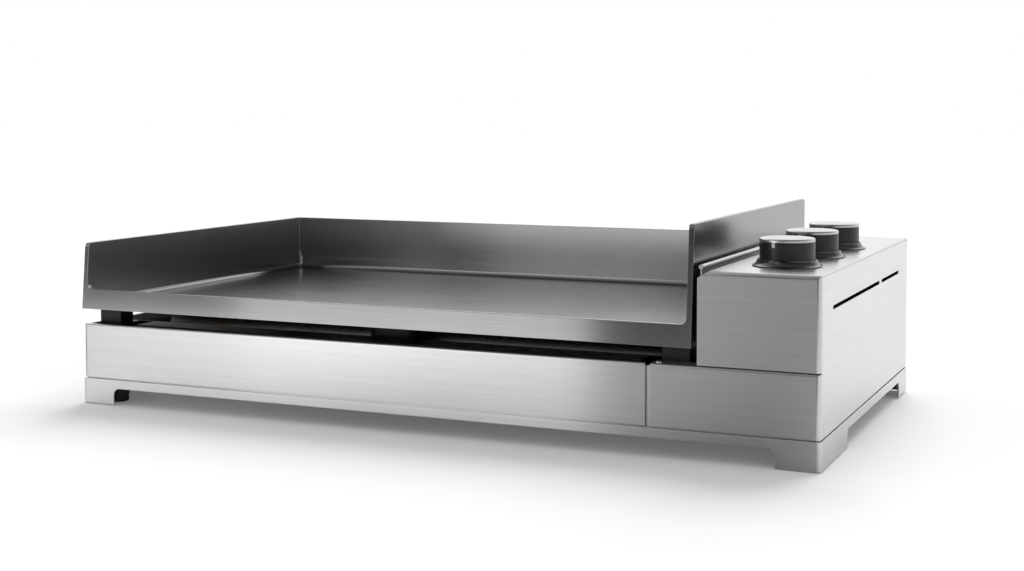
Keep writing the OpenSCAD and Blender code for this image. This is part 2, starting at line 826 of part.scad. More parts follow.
// Heat baffle: keeps the burners' heat off the grease tray
module heat_baffle() {
    rim_h = burner_z - burner_r - baffle_z - baffle_gap;
    d = rear_rail_y - baffle_front;
    color(dark_steel) {
        box(rail_left, baffle_front, baffle_z, rail_l, d, baffle_t);
        box(rail_left, baffle_front, baffle_z, rail_l, baffle_t, rim_h);
    }
}

// Corner brackets: angles that join the side panels, the burner wall and the rear panel
module corner_brackets() {
    low_z = seat_z + sheet_t;
    low_h = panel_top_z - edge_r - low_z;
    tall_h = roof_z - edge_r - low_z;
    color(steel) {
        bracket(rail_left, low_z, low_h, false);
        bracket(room_left, low_z, tall_h, false);
        bracket(panel_right - sheet_t, low_z, tall_h, true);
    }
}

// An upright angle in a rear corner, with screw holes towards the back
module bracket(x, z, h, flip) {
    difference() {
        translate([x, inner_rear, z]) mirror([flip ? 1 : 0, 0, 0]) {
            translate([0, -bracket_w, 0]) cube([bracket_t, bracket_w, h]);
            translate([0, -bracket_t, 0]) cube([bracket_w, bracket_t, h]);
        }
        rear_screw_places()
            rod_y(0, -sheet_t - bracket_t - overrun, 0, sheet_t + bracket_t + overrun, screw_r + screw_gap);
    }
}

// Panel screws: pan heads on the rear panel and one on the lower front panel
module panel_screws() {
    color(steel) {
        rear_screw_places() {
            rod_y(0, 0, 0, screw_head_h, screw_head_r);
            rod_y(0, -panel_screw_l, 0, panel_screw_l, screw_r);
        }
        translate([lower_left + screw_edge, panel_front + flange_w / 2 + sheet_t, panel_top_z]) {
            cylinder(h = screw_head_h, r = screw_head_r);
            translate([0, 0, -panel_screw_l]) cylinder(h = panel_screw_l, r = screw_r);
        }
    }
}

// Drawer front: a shallow pan with a return along its top for the fingers
module drawer_front() {
    h = panel_top_z - drawer_z;
    color(steel) difference() {
        bent_block(panel_left, panel_front, drawer_z, drawer_w, flange_w, h, bend_r, drawer_edge_r, false);
        bent_block(panel_left + sheet_t, panel_front + sheet_t, drawer_z + sheet_t, drawer_w - 2 * sheet_t,
            flange_w, h - 2 * sheet_t, bend_r - sheet_t, drawer_edge_r - sheet_t, false);
        box(panel_left - overrun, panel_front + bend_r, drawer_z - overrun,
            flange_w + slide_gap + overrun, flange_w, h + overrun);
        box(panel_left - overrun, panel_front + drawer_hem, panel_top_z - 2 * sheet_t,
            drawer_w + 2 * overrun, flange_w, 2 * sheet_t + overrun);
    }
}

// Grease tray: a shallow pan with side rims that slide in the runners
module grease_tray() {
    x = rail_left + runner_w + seam;
    w = runner_wall_x - runner_w - seam - x;
    y = panel_front + sheet_t;
    z = rim_z - tray_h;
    color(steel) {
        difference() {
            box(x, y, z, w, tray_l, tray_h);
            box(x + tray_t, y + tray_t, z + tray_t, w - 2 * tray_t, tray_l - 2 * tray_t, tray_h);
        }
        for (rim_x = [x - rim_w, x + w])
            box(rim_x, y + rail_from - sheet_t, rim_z - tray_t, rim_w, tray_l - rail_from, tray_t);
    }
}

// The plate's outer form, leaning back at the front
module plate_block(w, h) {
    lean_y = h * tan(lean);
    along_x(left, w) polygon([[front, plate_z], [front + plate_d, plate_z],
        [front + plate_d, plate_z + h], [front + lean_y, plate_z + h]]);
}

// A box rounded along its upright edges and its bottom
module rounded_well(x, y, z, w, d, h, r) {
    for (cx = [x + r, x + w - r], cy = [y + r, y + d - r]) {
        rod_z(cx, cy, z + r, h - r, r);
        translate([cx, cy, z + r]) sphere(r);
    }
    for (cx = [x + r, x + w - r]) rod_y(cx, y + r, z + r, d - 2 * r, r);
    for (cy = [y + r, y + d - r]) rod_x(x + r, cy, z + r, w - 2 * r, r);
    box(x + r, y + r, z, w - 2 * r, d - 2 * r, h);
    box(x, y + r, z + r, w, d - 2 * r, h - r);
    box(x + r, y, z + r, w - 2 * r, d, h - r);
}

// Griddle plate: floor, front lip, two walls and a taller right wall
module griddle_plate() {
    lip_z = plate_z + floor_t + lip_h;
    wall_z = plate_z + wall_h;
    tall_z = plate_z + tall_wall_h;
    inner_w = plate_w - 2 * wall_t;
    lip_y = wall_t + (floor_t + lip_h) * tan(lean);
    color(dark_steel) difference() {
        plate_block(plate_w, tall_wall_h);
        rounded_well(left + wall_t, front + lip_y, plate_z + floor_t, inner_w,
            plate_d - lip_y - wall_t, tall_wall_h, plate_bend_r);
        along_y(front - overrun, plate_d - wall_t + overrun) {
            translate([left + wall_t + plate_bend_r, lip_z])
                square([inner_w - 2 * plate_bend_r, tall_wall_h]);
            translate([left + wall_t, lip_z + plate_bend_r]) square([inner_w, tall_wall_h]);
            for (x = [left + wall_t + plate_bend_r, left + plate_w - wall_t - plate_bend_r])
                translate([x, lip_z + plate_bend_r]) circle(plate_bend_r);
        }
        box(left - overrun, front - overrun, wall_z,
            plate_w - wall_t + overrun, plate_d + 2 * overrun, tall_wall_h);
        corner_trim(left - overrun, wall_t + 2 * overrun, wall_z, wall_h);
        corner_trim(left + plate_w - wall_t - overrun, wall_t + 2 * overrun, tall_z, tall_wall_h);
        rear_corner_trim(left + plate_w - wall_t - overrun, wall_t + 2 * overrun, tall_z);
        along_z(plate_z - overrun, floor_t + 2 * overrun)
            slot_plan(left + plate_w / 2, front + grease_slot_y, grease_slot_l, grease_slot_w);
    }
}

// What is cut off a wall's top front corner to round it
module corner_trim(x, w, top, h) {
    y = front + h * tan(lean);
    along_x(x, w) difference() {
        translate([y - wall_corner_r, top - wall_corner_r])
            square([2 * wall_corner_r, wall_corner_r + overrun]);
        translate([y + wall_corner_r, top - wall_corner_r]) circle(wall_corner_r);
    }
}

// What is cut off the tall wall's top rear corner to round it
module rear_corner_trim(x, w, top) {
    y = front + plate_d - wall_corner_r;
    along_x(x, w) difference() {
        translate([y, top - wall_corner_r]) square(wall_corner_r + overrun);
        translate([y, top - wall_corner_r]) circle(wall_corner_r);
    }
}

// Plate studs: welded under the plate, they drop into the supports' holes
module plate_studs() {
    color(steel) for (x = support_x, y = support_y)
        rod_z(x + support_w / 2, y + support_d / 2, plate_z - stud_l, stud_l, stud_r);
}

// Grease chute: leads the fat from the plate's slot down into the tray
module grease_chute() {
    color(dark_steel) along_z(plate_z - chute_l, chute_l) difference() {
        slot_plan(left + plate_w / 2, front + grease_slot_y,
            grease_slot_l + 2 * chute_t, grease_slot_w + 2 * chute_t);
        slot_plan(left + plate_w / 2, front + grease_slot_y, grease_slot_l, grease_slot_w);
    }
}

// Half of a burner's lengthwise section, drawn as radius against length
module burner_half(r, mix, end) {
    polygon([[0, -end], [r, -end], [r, burner_l], [mix, burner_l + taper_l],
        [mix, burner_l + taper_l + mix_l + overrun + end], [0, burner_l + taper_l + mix_l + overrun + end]]);
}

// A burner: a closed tube with flame ports, a taper and a mixing tube
module burner(i) {
    half_gap = (burner_l - (ports - 1) * port_pitch) / 2;
    color(dark_steel) difference() {
        intersection() {
            translate([burner_left, burner_y(i), burner_z]) rotate([0, 90, 0])
                rotate_extrude() burner_half(burner_r, mix_r, 0);
            box(burner_left, burner_y(i) - burner_r - overrun, burner_z - burner_r - overrun,
                mix_right - burner_left, 2 * burner_r + 2 * overrun, 2 * burner_r + 2 * overrun);
        }
        translate([burner_left, burner_y(i), burner_z]) rotate([0, 90, 0])
            rotate_extrude() burner_half(burner_r - burner_t, mix_r - burner_t, -burner_t);
        for (k = [0 : ports - 1])
            box(burner_left + half_gap + k * port_pitch - port_w / 2, burner_y(i) - burner_r - overrun,
                burner_z + port_rise, port_w, 2 * burner_r + 2 * overrun, port_h);
    }
}

// Burner rests: notched brackets that carry the burners' closed ends
module burner_rests() {
    x = burner_left + burner_r;
    z = baffle_z + baffle_t;
    color(steel) for (i = [0 : 2]) difference() {
        union() {
            box(x, burner_y(i) - burner_r - support_t, z, sheet_t, 2 * burner_r + 2 * support_t, burner_z - z);
            box(x, burner_y(i) - burner_r - support_t, z, flange_w, 2 * burner_r + 2 * support_t, sheet_t);
        }
        rod_x(x - overrun, burner_y(i), burner_z, flange_w + 2 * overrun, burner_r + rest_gap);
    }
}

// Gas inlet: a threaded stub through the rear panel with its locknut
module gas_inlet() {
    stub_l = inlet_reach + sheet_t + inlet_inner_l;
    color(brass) difference() {
        union() {
            rod_y(gas_rail_x, inner_rear - inlet_inner_l, gas_rail_z, stub_l, inlet_r);
            translate([gas_rail_x, panel_rear, gas_rail_z]) rotate([-90, 0, 0])
                cylinder(h = locknut_t, r = locknut_w / 2, $fn = 6);
            translate([gas_rail_x, inner_rear - locknut_t, gas_rail_z]) rotate([-90, 0, 0])
                cylinder(h = locknut_t, r = locknut_w / 2, $fn = 6);
        }
        rod_y(gas_rail_x, inner_rear - inlet_inner_l - overrun, gas_rail_z,
            stub_l + 2 * overrun, inlet_bore_r);
    }
}

// Gas rail: a tube closed at its front end that feeds the valves
module gas_rail() {
    from = knob_y(0) - valve_d / 2;
    l = inner_rear - inlet_inner_l - from;
    color(steel) difference() {
        rod_y(gas_rail_x, from, gas_rail_z, l, gas_rail_r);
        rod_y(gas_rail_x, from + gas_rail_t, gas_rail_z, l, gas_rail_r - gas_rail_t);
    }
}

// Rail brackets: plates from the right panel that hold the gas rail between the valves
module rail_brackets() {
    x = gas_rail_x - rail_bracket_w / 2;
    color(steel) for (share = rail_bracket_shares) {
        y = knob_y(share) - sheet_t;
        difference() {
            union() {
                box(x, y, gas_rail_z - rail_bracket_w / 2, panel_right - sheet_t - x, sheet_t, rail_bracket_w);
                box(panel_right - 2 * sheet_t, y, gas_rail_z - rail_bracket_w / 2,
                    sheet_t, flange_w, rail_bracket_w);
            }
            rod_y(gas_rail_x, y - overrun, gas_rail_z, sheet_t + 2 * overrun, gas_rail_r + run_gap);
        }
    }
}

// Feed tubes: from each valve down, back and down to its injector
module feed_tubes() {
    run_z = valve_z - feed_r - feed_bend_r;
    drop_z = burner_z + elbow_half;
    color(brass) for (i = [0 : 2]) {
        rod_z(knob_x, knob_y(i), valve_z - feed_r, feed_r, feed_r);
        translate([knob_x, knob_y(i) + feed_bend_r, valve_z - feed_r]) rotate([90, 0, 90])
            rotate([0, 0, 180]) rotate_extrude(angle = 90) translate([feed_bend_r, 0]) circle(feed_r);
        rod_y(knob_x, knob_y(i) + feed_bend_r, run_z, burner_y(i) - knob_y(i) - 2 * feed_bend_r, feed_r);
        translate([knob_x, burner_y(i) - feed_bend_r, run_z - feed_bend_r]) rotate([90, 0, 90])
            rotate_extrude(angle = 90) translate([feed_bend_r, 0]) circle(feed_r);
        rod_z(knob_x, burner_y(i), drop_z, run_z - feed_bend_r - drop_z, feed_r);
    }
}

// Injectors: brass elbows whose nozzles face the mixing tubes
module injectors() {
    nozzle_x = mix_right + nozzle_gap;
    body_x = knob_x - elbow_half;
    body_w = 2 * elbow_half;
    color(brass) for (i = [0 : 2]) {
        box(body_x, burner_y(i) - elbow_half, burner_z - elbow_half, body_w, body_w, body_w);
        rod_x(nozzle_x, burner_y(i), burner_z, body_x - nozzle_x, feed_r);
        translate([nozzle_x + feed_r, burner_y(i), burner_z]) rotate([0, 90, 0])
            cylinder(h = body_x - nozzle_x - feed_r, r = nozzle_nut_r, $fn = 6);
    }
}

// Electrodes: ceramic bodies through the burner wall with spark rods
module electrodes() {
    x = room_left + pilot_out - pilot_l;
    color("white") for (i = [0 : 2]) {
        y = burner_y(i) - pilot_side;
        z = burner_z + pilot_rise;
        rod_x(x, y, z, pilot_l, ceramic_r);
        rod_x(burner_wall_x - collar_t, y, z, collar_t, collar_r);
        rod_x(x - spark_l, y, z, spark_l, spark_r);
    }
}

// Thermocouples: probes through the burner wall beside the flames
module thermocouples() {
    x = room_left + pilot_out - pilot_l;
    color(brass) for (i = [0 : 2]) {
        y = burner_y(i) + pilot_side;
        z = burner_z + pilot_rise;
        rod_x(x, y, z, pilot_l, probe_r);
        rod_x(burner_wall_x - collar_t, y, z, collar_t, collar_r);
    }
}

// A thin round lead that runs along straight stretches with round corners
module lead(points) {
    for (k = [0 : len(points) - 2]) {
        run = points[k + 1] - points[k];
        l = norm(run);
        translate(points[k])
            rotate([0, acos(run[2] / l), atan2(run[1], run[0])]) cylinder(h = l, r = lead_r);
    }
    for (k = [1 : len(points) - 2]) translate(points[k]) sphere(lead_r);
}

// Ignition leads: from each electrode to its valve's spark unit
module ignition_leads() {
    x = room_left + pilot_out;
    z = burner_z + pilot_rise;
    up_x = x + lead_out;
    color("white") for (i = [0 : 2])
        lead([[x, burner_y(i) - pilot_side, z], [up_x, burner_y(i) - pilot_side, z],
            [up_x, burner_y(i) - pilot_side, gas_rail_z - lead_side],
            [up_x, knob_y(i), gas_rail_z - lead_side],
            [knob_x - valve_w / 2, knob_y(i), gas_rail_z - lead_side]]);
}

// Thermocouple leads: from each probe to the safety magnet in its valve
module thermocouple_leads() {
    x = room_left + pilot_out;
    z = burner_z + pilot_rise;
    up_x = x + lead_out;
    color(brass) for (i = [0 : 2])
        lead([[x, burner_y(i) + pilot_side, z], [up_x, burner_y(i) + pilot_side, z],
            [up_x, burner_y(i) + pilot_side, gas_rail_z + lead_side],
            [up_x, knob_y(i), gas_rail_z + lead_side],
            [knob_x - valve_w / 2, knob_y(i), gas_rail_z + lead_side]]);
}

// A valve's body: block, bonnet and inlet boss, hollow for plug and spring
module valve(i) {
    color(brass) translate([knob_x, knob_y(i), 0]) difference() {
        union() {
            box(-valve_w / 2, -valve_d / 2, valve_z, valve_w, valve_d, valve_h);
            rod_z(0, 0, bonnet_z, bonnet_h, bonnet_r);
            rod_x(valve_w / 2, 0, gas_rail_z, gas_rail_r, boss_r);
        }
        rod_z(0, 0, plug_z, valve_h - valve_floor - valve_roof, plug_r + run_gap);
        rod_z(0, 0, plug_z, bonnet_top_z - bonnet_roof - plug_z, bonnet_bore_r);
        rod_z(0, 0, plug_z, bonnet_top_z - plug_z + overrun, stem_r + run_gap);
        rod_y(valve_w / 2 + gas_rail_r, -valve_d / 2 - overrun, gas_rail_z,
            valve_d + 2 * overrun, gas_rail_r + run_gap);
    }
}

// A round bar with a flat along one side
module keyed_bar(h, gap) {
    flat_x = stem_r - key_flat + gap;
    difference() {
        cylinder(h = h, r = stem_r + gap);
        box(flat_x, -plug_r, -overrun, plug_r, 2 * plug_r, h + 2 * overrun);
    }
}

// A valve's plug: turns with the stem, which slides through it
module valve_plug(i) {
    color(brass) translate([knob_x, knob_y(i), plug_z + rest_gap]) difference() {
        cylinder(h = plug_h, r = plug_r);
        translate([0, 0, -overrun]) keyed_bar(plug_h + 2 * overrun, run_gap);
        rod_x(-plug_r - overrun, 0, plug_h / 2, plug_r, stem_r);
    }
}

// A return spring between the plug and the stem's collar, as its sleeve
module valve_spring(i) {
    color(steel) translate([knob_x, knob_y(i), spring_z]) difference() {
        cylinder(h = stem_collar_z - spring_z, r = spring_out_r);
        translate([0, 0, -overrun]) cylinder(h = stem_collar_z - spring_z + 2 * overrun, r = spring_in_r);
    }
}

// A stem with its retaining collar, keyed by flats at both ends
module valve_stem(i) {
    from = plug_z + stem_foot;
    key_top = spring_z + push;
    color(steel) translate([knob_x, knob_y(i), 0]) {
        translate([0, 0, from]) keyed_bar(key_top - from, 0);
        rod_z(0, 0, key_top, knob_z - key_top, stem_r);
        translate([0, 0, knob_z]) keyed_bar(stem_top_z - knob_z, 0);
        rod_z(0, 0, stem_collar_z, stem_collar_h, stem_collar_r);
    }
}

// Knob bezels: flared rings on the cover, each with a well for its knob
module knob_bezels() {
    well_r = knob_r + knob_gap;
    rim_r = well_r + bezel_rim;
    color(black) for (i = [0 : 2]) translate([knob_x, knob_y(i), box_top_z]) difference() {
        rotate_extrude() difference() {
            square([bezel_r, bezel_h]);
            translate([rim_r + bezel_h, bezel_h + bezel_foot]) circle(bezel_h);
        }
        translate([0, 0, bezel_floor]) cylinder(h = bezel_h, r = well_r);
        translate([0, 0, -overrun]) cylinder(h = bezel_floor + 2 * overrun, r = stem_hole_r);
    }
}

// A knob: a hollow shell with a hub on the stem
module knob(i) {
    h = cap_z - knob_z;
    color(black) translate([knob_x, knob_y(i), knob_z]) difference() {
        union() {
            difference() {
                cylinder(h = h, r = knob_r);
                translate([0, 0, -overrun]) cylinder(h = h - knob_wall + overrun, r = knob_r - knob_wall);
            }
            cylinder(h = h, r = hub_r);
        }
        translate([0, 0, -overrun]) keyed_bar(h - knob_wall + overrun, run_gap);
        translate([0, 0, h - pointer_h]) pointer_block();
    }
}

// A knob's metal cap with a rounded edge
module knob_cap(i) {
    color(steel) translate([knob_x, knob_y(i), cap_z]) rotate_extrude() {
        square([knob_r, cap_t - cap_edge_r]);
        square([knob_r - cap_edge_r, cap_t]);
        translate([knob_r - cap_edge_r, cap_t - cap_edge_r]) circle(cap_edge_r);
    }
}

// The block of a pointer insert in a knob's side, from its foot
module pointer_block() {
    rotate([0, 0, pointer_turn])
        box(-pointer_w / 2, -knob_r - pointer_out, 0, pointer_w, pointer_t + pointer_out, pointer_h);
}

// A pointer insert, in its knob's side just below the cap
module pointer(i) {
    color("white") translate([knob_x, knob_y(i), cap_z - pointer_h]) pointer_block();
}

base_frame();
rubber_feet();
foot_screws();
left_panel();
right_panel();
rear_panel();
lower_front_panel();
control_cover();
burner_wall();
heat_shield();
shield_spacers();
front_rail();
rear_rail();
plate_supports();
runner_wall();
drawer_runners();
heat_baffle();
corner_brackets();
panel_screws();
drawer_front();
grease_tray();
griddle_plate();
plate_studs();
grease_chute();
burner(0);  // burner_front
burner(1);  // burner_middle
burner(2);  // burner_rear
burner_rests();
gas_inlet();
gas_rail();
rail_brackets();
feed_tubes();
injectors();
electrodes();
thermocouples();
ignition_leads();
thermocouple_leads();
valve(0);  // valve_front
valve(1);  // valve_middle
valve(2);  // valve_rear
valve_plug(0);  // valve_plug_front
valve_plug(1);  // valve_plug_middle
valve_plug(2);  // valve_plug_rear
valve_spring(0);  // valve_spring_front
valve_spring(1);  // valve_spring_middle
valve_spring(2);  // valve_spring_rear
valve_stem(0);  // valve_stem_front
valve_stem(1);  // valve_stem_middle
valve_stem(2);  // valve_stem_rear
knob_bezels();
knob(0);  // knob_front
knob(1);  // knob_middle
knob(2);  // knob_rear
knob_cap(0);  // knob_cap_front
knob_cap(1);  // knob_cap_middle
knob_cap(2);  // knob_cap_rear
pointer(0);  // pointer_front
pointer(1);  // pointer_middle
pointer(2);  // pointer_rear
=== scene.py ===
"""The looks of a countertop gas griddle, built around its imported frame.

The frame gives every place and size. Sheets, plate, knobs, screws, feet and gas
inlet are eased or remodelled here, and what stays of the frame gets its finish.
"""

import json
import logging
import math
from collections.abc import Callable, Iterable, Sequence
from dataclasses import dataclass, field
from enum import Enum
from itertools import pairwise
from typing import Any

import bmesh
import bpy
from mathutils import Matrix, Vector

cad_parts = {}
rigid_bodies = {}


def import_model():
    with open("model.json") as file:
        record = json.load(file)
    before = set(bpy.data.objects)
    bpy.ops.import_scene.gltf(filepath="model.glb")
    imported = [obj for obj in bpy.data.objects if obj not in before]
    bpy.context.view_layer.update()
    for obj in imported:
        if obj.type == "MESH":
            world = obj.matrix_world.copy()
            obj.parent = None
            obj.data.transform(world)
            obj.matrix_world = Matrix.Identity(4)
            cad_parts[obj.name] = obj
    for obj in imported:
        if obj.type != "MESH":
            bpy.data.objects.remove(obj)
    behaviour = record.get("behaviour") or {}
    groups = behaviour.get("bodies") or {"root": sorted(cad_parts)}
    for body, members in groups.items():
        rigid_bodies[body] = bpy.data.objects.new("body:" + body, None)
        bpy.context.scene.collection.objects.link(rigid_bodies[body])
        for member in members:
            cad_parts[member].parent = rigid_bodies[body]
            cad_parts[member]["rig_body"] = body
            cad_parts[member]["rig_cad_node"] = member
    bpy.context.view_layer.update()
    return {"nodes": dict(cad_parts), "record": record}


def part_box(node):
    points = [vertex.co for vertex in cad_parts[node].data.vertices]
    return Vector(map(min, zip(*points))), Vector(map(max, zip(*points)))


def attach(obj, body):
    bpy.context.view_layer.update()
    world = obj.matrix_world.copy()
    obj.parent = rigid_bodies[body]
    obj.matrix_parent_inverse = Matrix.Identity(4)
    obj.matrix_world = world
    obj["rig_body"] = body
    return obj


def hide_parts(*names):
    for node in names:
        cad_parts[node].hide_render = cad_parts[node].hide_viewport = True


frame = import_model()

Colour = tuple[float, float, float]
Piece = bpy.types.Object
Socket = bpy.types.NodeSocket

MM = 0.001
GRAIN_MAP = "grain"
# Lengths that differ by less than this are the same.
HAIR = MM / 100
# In the shader's own unit, where 1 is a full turn.
QUARTER_TURN = 0.25
HEXAGON = 6
KNOB_PLACES = ("front", "middle", "rear")
SLOTS = {row["node"]: row["material_slot"] for row in frame["record"]["subparts"]}

log = logging.getLogger("griddle")


class Axis(Enum):
    """The way that a turned piece's axis points, as the turn that brings it there from +Z."""

    UP = (0.0, 0.0, 0.0)
    BACK = (-math.pi / 2, 0.0, 0.0)


class Point(Enum):
    """What a pattern is laid out on."""

    PLACE = "place in the row frame"
    GRAIN = "the piece's own map, with U along the sheet's length"


# ---------------------------------------------------------------- finishes


class Recipe:
    """A node tree while it is put together.

    Attributes:
        owner: the material or world that the tree belongs to.
        nodes: its nodes.
        links: its links.
        shader: the shader that its output shows.
    """

    def __init__(self, owner: bpy.types.ID, shader: str) -> None:
        """Opens the node tree of a new material or world.

        Args:
            owner: the material or world.
            shader: the name of its shader node.
        """
        self.owner = owner
        owner.use_nodes = True
        self.nodes = owner.node_tree.nodes
        self.links = owner.node_tree.links
        self.shader = self.nodes[shader]

    @classmethod
    def of_material(cls, name: str) -> "Recipe":
        """Starts a material."""
        return cls(bpy.data.materials.new(name), "Principled BSDF")

    @classmethod
    def of_world(cls, name: str) -> "Recipe":
        """Starts a world."""
        return cls(bpy.data.worlds.new(name), "Background")

    def add(self, kind: str, inputs: dict[Any, Any] | None = None, **settings: Any) -> bpy.types.Node:
        """Adds a node.

        Args:
            kind: the node's type, without its leading "ShaderNode".
            inputs: what goes into its sockets, by name or number, a value or another socket.
            settings: its other settings.

        Returns:
            The node.
        """
        node = self.nodes.new("ShaderNode" + kind)
        for name, value in settings.items():
            setattr(node, name, value)
        for name, value in (inputs or {}).items():
            if isinstance(value, bpy.types.NodeSocket):
                self.links.new(value, node.inputs[name])
            else:
                node.inputs[name].default_value = value
        return node

    def point(self, kind: Point, scale: Sequence[float], shift: Sequence[float] = (0, 0, 0)) -> Socket:
        """A stretched coordinate.

        Args:
            kind: what the pattern is laid out on.
            scale: how often the pattern repeats in a metre, along each axis.
            shift: where the pattern's centre goes, before the scale.

        Returns:
            The coordinate.
        """
        if kind is Point.GRAIN:
            source = self.add("UVMap", uv_map=GRAIN_MAP).outputs["UV"]
        else:
            source = self.add("TexCoord").outputs["Object"]
        moved = self.add("VectorMath", {0: source, 1: tuple(shift)}, operation="SUBTRACT")
        inputs = {0: moved.outputs[0], 1: tuple(scale)}
        return self.add("VectorMath", inputs, operation="MULTIPLY").outputs[0]

    def noise(self, vector: Socket, detail: float = 2.0, rough: float = 0.5) -> Socket:
        """Noise over a coordinate, from 0 to 1."""
        inputs = {"Vector": vector, "Scale": 1.0, "Detail": detail, "Roughness": rough}
        return self.add("TexNoise", inputs).outputs["Fac"]

    def ramp(self, value: Socket, low: float, high: float, start: float, end: float) -> Socket:
        """Spreads a value.

        Args:
            value: the value.
            low: what start becomes.
            high: what end becomes.
            start: the value's low end.
            end: the value's high end.

        Returns:
            The spread value.
        """
        inputs = {"Value": value, "From Min": start, "From Max": end, "To Min": low, "To Max": high}
        return self.add("MapRange", inputs).outputs["Result"]

    def blend(self, share: Socket, first: Any, second: Any) -> Socket:
        """Mixes two colours.

        Args:
            share: the second one's share.
            first: the first colour, or a socket.
            second: the second colour, or a socket.

        Returns:
            The mixed colour.
        """
        # A Mix node's colours go into its sockets 6 and 7 and come out of its socket 2.
        ends = {0: share, 6: first, 7: second}
        inputs = {n: (*v, 1.0) if isinstance(v, tuple) else v for n, v in ends.items()}
        return self.add("Mix", inputs, data_type="RGBA").outputs[2]

    def sum(self, first: Socket, second: Socket, share: float) -> Socket:
        """The first value with a share of the second mixed in."""
        return self.add("Mix", {0: share, 2: first, 3: second}, data_type="FLOAT").outputs[0]

    def relief(self, height: Socket, depth: float) -> None:
        """Gives the surface a relief of a depth in metres."""
        bump = self.add("Bump", {"Height": height, "Strength": 1.0, "Distance": depth})
        self.links.new(bump.outputs["Normal"], self.shader.inputs["Normal"])

    def feed(self, name: str, value: Any) -> None:
        """Sets or links one of the shader's sockets.

        Args:
            name: the socket's name.
            value: its value, or the socket that it is linked to.
        """
        if isinstance(value, bpy.types.NodeSocket):
            self.links.new(value, self.shader.inputs[name])
        else:
            self.shader.inputs[name].default_value = value


@dataclass(frozen=True)
class Finish:
    """A finish whose fine pattern drives its tone, its roughness and its relief.

    Attributes:
        name: the material's name.
        dark: the pattern's darker tone.
        light: the pattern's lighter tone.
        metallic: 1 for metal and 0 for the rest.
        rough: the roughness at the pattern's low and high end.
        depth: the relief's depth in metres.
        pitch: the pattern's repeats in a metre.
        clouding: how far slow, large patches shift the tone.
        spread: how far from its middle the pattern still changes the tone.
        cloud_pitch: the slow patches' repeats in a metre, along each axis.
    """

    name: str
    dark: Colour
    light: Colour
    metallic: float = 1.0
    rough: tuple[float, float] = (0.3, 0.4)
    depth: float = 0.00002
    pitch: float = 900.0
    clouding: float = 0.3
    spread: float = 0.2
    cloud_pitch: tuple[float, float, float] = (9.0, 9.0, 13.0)

    def pattern(self, recipe: Recipe) -> Socket:
        """The fine pattern, from 0 to 1."""
        return recipe.noise(recipe.point(Point.PLACE, (self.pitch,) * 3), detail=3.0, rough=0.6)

    def clouds(self, recipe: Recipe) -> Socket:
        """The slow patches, from 0 to 1."""
        return recipe.noise(recipe.point(Point.PLACE, self.cloud_pitch), detail=3.0, rough=0.55)

    def dress(self, recipe: Recipe, tone: Socket) -> Socket:
        """The finish's last touch on its tone."""
        return tone

    def material(self) -> bpy.types.Material:
        """Builds the material the first time.

        Returns:
            The material, the same one each time.
        """
        name = f"{self.name}_finish"
        known = bpy.data.materials.get(name)
        if known is not None:
            return known
        recipe = Recipe.of_material(name)
        fine = self.pattern(recipe)
        slow = self.clouds(recipe)
        mixed = recipe.sum(fine, slow, self.clouding)
        start, end = 0.5 - self.spread, 0.5 + self.spread
        tone = recipe.blend(recipe.ramp(mixed, 0.0, 1.0, start, end), self.dark, self.light)
        recipe.feed("Base Color", self.dress(recipe, tone))
        recipe.feed("Metallic", self.metallic)
        recipe.feed("Roughness", recipe.ramp(mixed, *self.rough, start, end))
        recipe.relief(fine, self.depth)
        return recipe.owner


@dataclass(frozen=True)
class BrushedSheet(Finish):
    """Sheet brushed along its length.

    Attributes:
        pull: how much more the brushing blurs across the grain than along it.
        streak: share of the wide streaks in the pattern.
        line_run: the fine lines' repeats in a metre along the grain.
        streak_run: the wide streaks' repeats in a metre along the grain.
        streak_width: a streak's width in widths of a line.
    """

    pull: float = 0.85
    streak: float = 0.45
    line_run: float = 7.0
    streak_run: float = 1.3
    streak_width: float = 6.0

    def pattern(self, recipe: Recipe) -> Socket:
        """Fine lines with wide streaks among them.

        Args:
            recipe: the tree that they go into.

        Returns:
            The pattern, from 0 to 1.
        """
        line_scale = (self.line_run, self.pitch, 0.0)
        streak_scale = (self.streak_run, self.pitch / self.streak_width, 0.0)
        lines = recipe.noise(recipe.point(Point.GRAIN, line_scale), detail=4.0, rough=0.65)
        streaks = recipe.noise(recipe.point(Point.GRAIN, streak_scale), detail=4.0, rough=0.75)
        return recipe.sum(lines, streaks, self.streak)

    def dress(self, recipe: Recipe, tone: Socket) -> Socket:
        """Turns the blur across the grain.

        Args:
            recipe: the tree.
            tone: the finish's tone.

        Returns:
            The tone as it was.
        """
        tangent = recipe.add("Tangent", direction_type="UV_MAP", uv_map=GRAIN_MAP)
        recipe.feed("Tangent", tangent.outputs[0])
        recipe.feed("Anisotropic", self.pull)
        recipe.feed("Anisotropic Rotation", QUARTER_TURN)
        return tone


@dataclass(frozen=True)
class HeatedSteel(Finish):
    """Steel that the flames have coloured in patches.

    Attributes:
        tint: the colour of the heated patches.
        tint_share: how strong that colour is where it is strongest.
        patch_pitch: the patches' repeats in a metre, along each axis.
    """

    tint: Colour = (0.2, 0.13, 0.09)
    tint_share: float = 0.75
    patch_pitch: tuple[float, float, float] = (7.0, 26.0, 26.0)

    def dress(self, recipe: Recipe, tone: Socket) -> Socket:
        """Lays the heat's colour over the tone.

        Args:
            recipe: the tree.
            tone: the finish's tone.

        Returns:
            The tone with the heated patches.
        """
        patches = recipe.noise(recipe.point(Point.PLACE, self.patch_pitch), detail=4.0, rough=0.6)
        share = recipe.ramp(patches, 0.0, self.tint_share, start=0.45, end=0.75)
        return recipe.blend(share, tone, self.tint)


